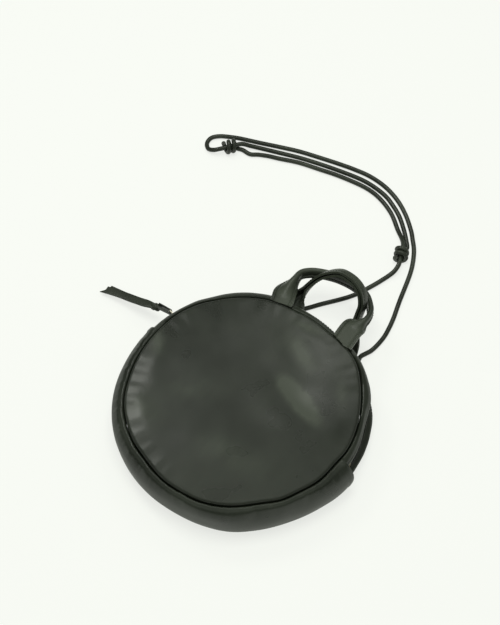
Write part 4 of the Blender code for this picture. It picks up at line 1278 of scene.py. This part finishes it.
def knot_core(place):
    """The knot's rounded body inside its bands."""
    rings = []
    for share in (0, 0.15, 0.35, 0.55, 0.75, 0.9, 1):
        x = THONG_KNOT + 9 * MM * share
        size = (0.5 + 0.5 * math.sin(math.pi * (0.15 + 0.7 * share))) * 3.7 * MM
        rings.append([
            place @ Vector((x, size * math.cos(turn), 0.85 * size * math.sin(turn) - thong_drop(x)))
            for turn in turns(12)
        ])
    return swept(rings)


def thong_tail(place, side, sway, cut, reach):
    """A flat tail, above the other or below it by its side, with its tip cut at a slant."""
    under = [(-1, -0.8), (-0.93, -1), (0, -1), (0.93, -1), (1, -0.8)]
    section = under + [(across, -out) for across, out in reversed(under)]
    rings = []
    for share in shares(30):
        x = THONG_KNOT + 4.5 * MM + share * reach
        half = THONG_WIDTH / 2 * (0.62 + 0.38 * smoothstep(0, 0.22, share))
        low = side * (0.85 * MM + 0.35 * MM * math.sin(7 * share + side)) - thong_drop(x)
        low = max(low, THONG_LOWEST)
        drift = side * 0.5 * MM + sway * share * share + 0.6 * MM * math.sin(5.2 * share + 1.4 * side)
        curl = 0.55 * MM * smoothstep(0.3, 1.0, share)
        # The slant takes the tip's last two rings.
        slant = cut if share == 1 else cut * 0.5 if share == 29 / 30 else 0.0
        rings.append([
            place @ Vector((
                x - slant * (0.5 - 0.5 * across), across * half + drift,
                low + out * THONG_LEATHER / 2 + curl * across * across,
            ))
            for across, out in section
        ])
    return swept(rings)


class BAG_OT_thong(bpy.types.Operator):
    """Makes the leather thong: a loop through the link, a knot and two flat tails"""

    bl_idname = "round_bag.thong"
    bl_label = "Thong"

    def execute(self, context):
        place = thong_place()
        bm = bmesh.new()
        joined(bm, thong_loop(place))
        joined(bm, knot_band(place, THONG_KNOT + 2.4 * MM, 0.28, 3.7 * MM, 1.5 * MM))
        joined(bm, knot_band(place, THONG_KNOT + 5.4 * MM, -0.42, 3.9 * MM, 1.6 * MM))
        joined(bm, knot_core(place))
        reach = THONG_END - THONG_KNOT - 4.5 * MM
        joined(bm, thong_tail(place, 1, 1.3 * MM, 6.5 * MM, reach))
        joined(bm, thong_tail(place, -1, -1.1 * MM, 4.5 * MM, reach - 2.5 * MM))
        piece_of("thong", bm, "thong", ["thong"], ["pull_thong"], sharp=50)
        return {"FINISHED"}


def strap_bend(fold):
    """Radius of a strap's fold, half its angle, and the strap's flat width beside it."""
    bend = STRAP_FOLD_RADIUS * math.pi
    turn = math.pi * max(fold, 0.01)
    return bend / turn, turn / 2, (STRAP_WIDTH - bend) / 2


def strap_rise(fold):
    """Mean height of the solid's own section, so that the strap lies where the solid does."""
    radius, edge, leg = strap_bend(fold)
    bend_foot = radius * (math.cos(edge) - 1)
    return 2 * (2 * bend_foot - leg * math.sin(edge) + radius * (math.cos(edge / 2) - 1)) / 7


def hem_thickness(gap):
    """Thickness, as a share, of a strap's leather at a distance inside its hem's sewn line."""
    if gap > 0.3 * MM:
        return HEM_THICK
    return SEWN_THICK if gap > -0.1 * MM else FLAT_THICK


def strap_section(fold, hem):
    """Closed outline of a strap's cross section, with thicker hems, as (across, height)."""
    radius, edge, leg = strap_bend(fold)
    sewn = leg - hem
    half = []
    for out in (leg, leg - 0.25 * MM, leg - 0.6 * hem, sewn + 0.5 * MM, sewn, sewn - 1 * MM, leg * 0.35, 0.0):
        half.append((
            radius * math.sin(edge) + out * math.cos(edge), radius * (math.cos(edge) - 1) - out * math.sin(edge),
            edge, hem_thickness(out - sewn),
        ))
    for angle in (edge * share for share in (0.75, 0.5, 0.25, 0.0)):
        half.append((radius * math.sin(angle), radius * (math.cos(angle) - 1), angle, FLAT_THICK))
    middle = half + [(-x, y, -angle, thick) for x, y, angle, thick in reversed(half[:-1])]
    rise = strap_rise(fold)
    outline = []
    for side in (1, -1):
        for x, y, angle, thick in middle[::side]:
            off = side * STRAP_HALF_THICK * thick
            outline.append((x + off * math.sin(angle), y - rise + off * math.cos(angle)))
    return outline


def front_side(along):
    """How the front handle lies at a distance from its hinge: out, up and slope."""
    return along * math.cos(FRONT_TILT), along * math.sin(FRONT_TILT), FRONT_TILT


def back_side(along):
    """The back handle lies on the floor at its root and rises in two bends."""
    if along <= 0:
        return along, 0.0, 0.0
    out = up = slope = done = 0.0
    for start, length, turn in BACK_BENDS:
        run = max(0.0, min(along, start) - done)
        angle = turn * min(max(along - start, 0.0), length) / length
        radius = length / turn
        out += run * math.cos(slope) + radius * (math.sin(slope + angle) - math.sin(slope))
        up += run * math.sin(slope) + radius * (math.cos(slope) - math.cos(slope + angle))
        slope += angle
        done = start + length
    run = max(0.0, along - done)
    return out + run * math.cos(slope), up + run * math.sin(slope), slope


class BAG_OT_handles(bpy.types.Operator):
    """Makes the two handles: straps flat at their feet, folded in two along the grip, with sewn hems"""

    bl_idname = "round_bag.handles"
    bl_label = "Handles"

    def execute(self, context):
        sewing = context.scene.round_bag_sewing
        # The strap's root is cut along the seam, so the points inside it move out to it.
        seam = SEAM_RADIUS - 1.2 * MM
        for name, node, body, reach, strap, side_line, ridge, hinge in (
            ("strap_front", "handle_front", "front_handle", FRONT_REACH, FRONT_STRAP, front_side, 1, FRONT_HINGE),
            ("strap_back", "handle_back", "back_handle", BACK_REACH, BACK_STRAP, back_side, -1, BACK_HINGE),
        ):
            line = smooth_path([(across * HALF_FEET, along * reach, fold) for across, along, fold in strap], 5)
            rings = []
            for i, (across, along, fold) in enumerate(line):
                step = path_step(line, i)
                ring = []
                for x, y in strap_section(min(1.0, max(0.0, fold)), sewing.hem):
                    out, up, slope = side_line(along + step.x * x)
                    point = Vector((
                        across - step.y * x,
                        hinge[0] + out - ridge * y * math.sin(slope),
                        hinge[1] + up + ridge * y * math.cos(slope),
                    ))
                    if math.hypot(point.x, point.y) < seam:
                        point.y = math.sqrt(max(0.0, seam**2 - point.x**2))
                    ring.append(point)
                rings.append(ring)
            bm = swept(rings)
            last = len(rings[0]) - 1
            faces = len(rings[0]) // 2
            # Each hem is sewn on the strap's upper side and on its lower one.
            for near, far in ((2, 3), (faces - 3, faces - 4)):
                ups = [(ring[near] - ring[last - near]).normalized() for ring in rings]
                for side, first, second in ((1, near, far), (-1, last - near, last - far)):
                    outwards = [side * up for up in ups]
                    spots = [
                        ring[first].lerp(ring[second], SEWN_AT) + way * SEWN_PROUD
                        for ring, way in zip(rings, outwards)
                    ]
                    stitched_line(bm, spots, outwards, sewing, STRAP_STITCH)
            piece_of(name, bm, body, ["strap", "thread"], [node], sharp=50)
        return {"FINISHED"}


class BAG_PT_tools(bpy.types.Panel):
    """Lists the bag's settings and the buttons that build it"""

    bl_label = "Round Bag"
    bl_idname = "BAG_PT_tools"
    bl_space_type = "VIEW_3D"
    bl_region_type = "UI"
    bl_category = "Round Bag"

    def draw(self, context):
        for name in SETTINGS:
            box = self.layout.box()
            group = getattr(context.scene, name)
            for key in group.__annotations__:
                box.prop(group, key)
        for operator in OPERATORS:
            self.layout.operator(operator.bl_idname)


SETTINGS = {
    "round_bag_shape": BagShape,
    "round_bag_zip": BagZip,
    "round_bag_sewing": BagSewing,
    "round_bag_finish": BagFinish,
    "round_bag_stage": BagStage,
}
OPERATORS = (
    BAG_OT_stage, BAG_OT_laces, BAG_OT_panels, BAG_OT_linings, BAG_OT_lower_gusset, BAG_OT_zip_strips,
    BAG_OT_zip_chains, BAG_OT_zip_fittings, BAG_OT_thong, BAG_OT_handles,
)


def register():
    for group in SETTINGS.values():
        bpy.utils.register_class(group)
    for operator in OPERATORS:
        bpy.utils.register_class(operator)
    bpy.utils.register_class(BAG_PT_tools)
    for name, group in SETTINGS.items():
        setattr(bpy.types.Scene, name, bpy.props.PointerProperty(type=group))


def unregister():
    for name in SETTINGS:
        delattr(bpy.types.Scene, name)
    bpy.utils.unregister_class(BAG_PT_tools)
    for operator in reversed(OPERATORS):
        bpy.utils.unregister_class(operator)
    for group in SETTINGS.values():
        bpy.utils.unregister_class(group)


def main():
    register()
    bag = bpy.ops.round_bag
    bag.stage()
    bag.laces()
    bag.panels()
    bag.linings()
    bag.lower_gusset()
    bag.zip_strips()
    bag.zip_chains()
    bag.zip_fittings()
    bag.thong()
    bag.handles()


if __name__ == "__main__":
    main()
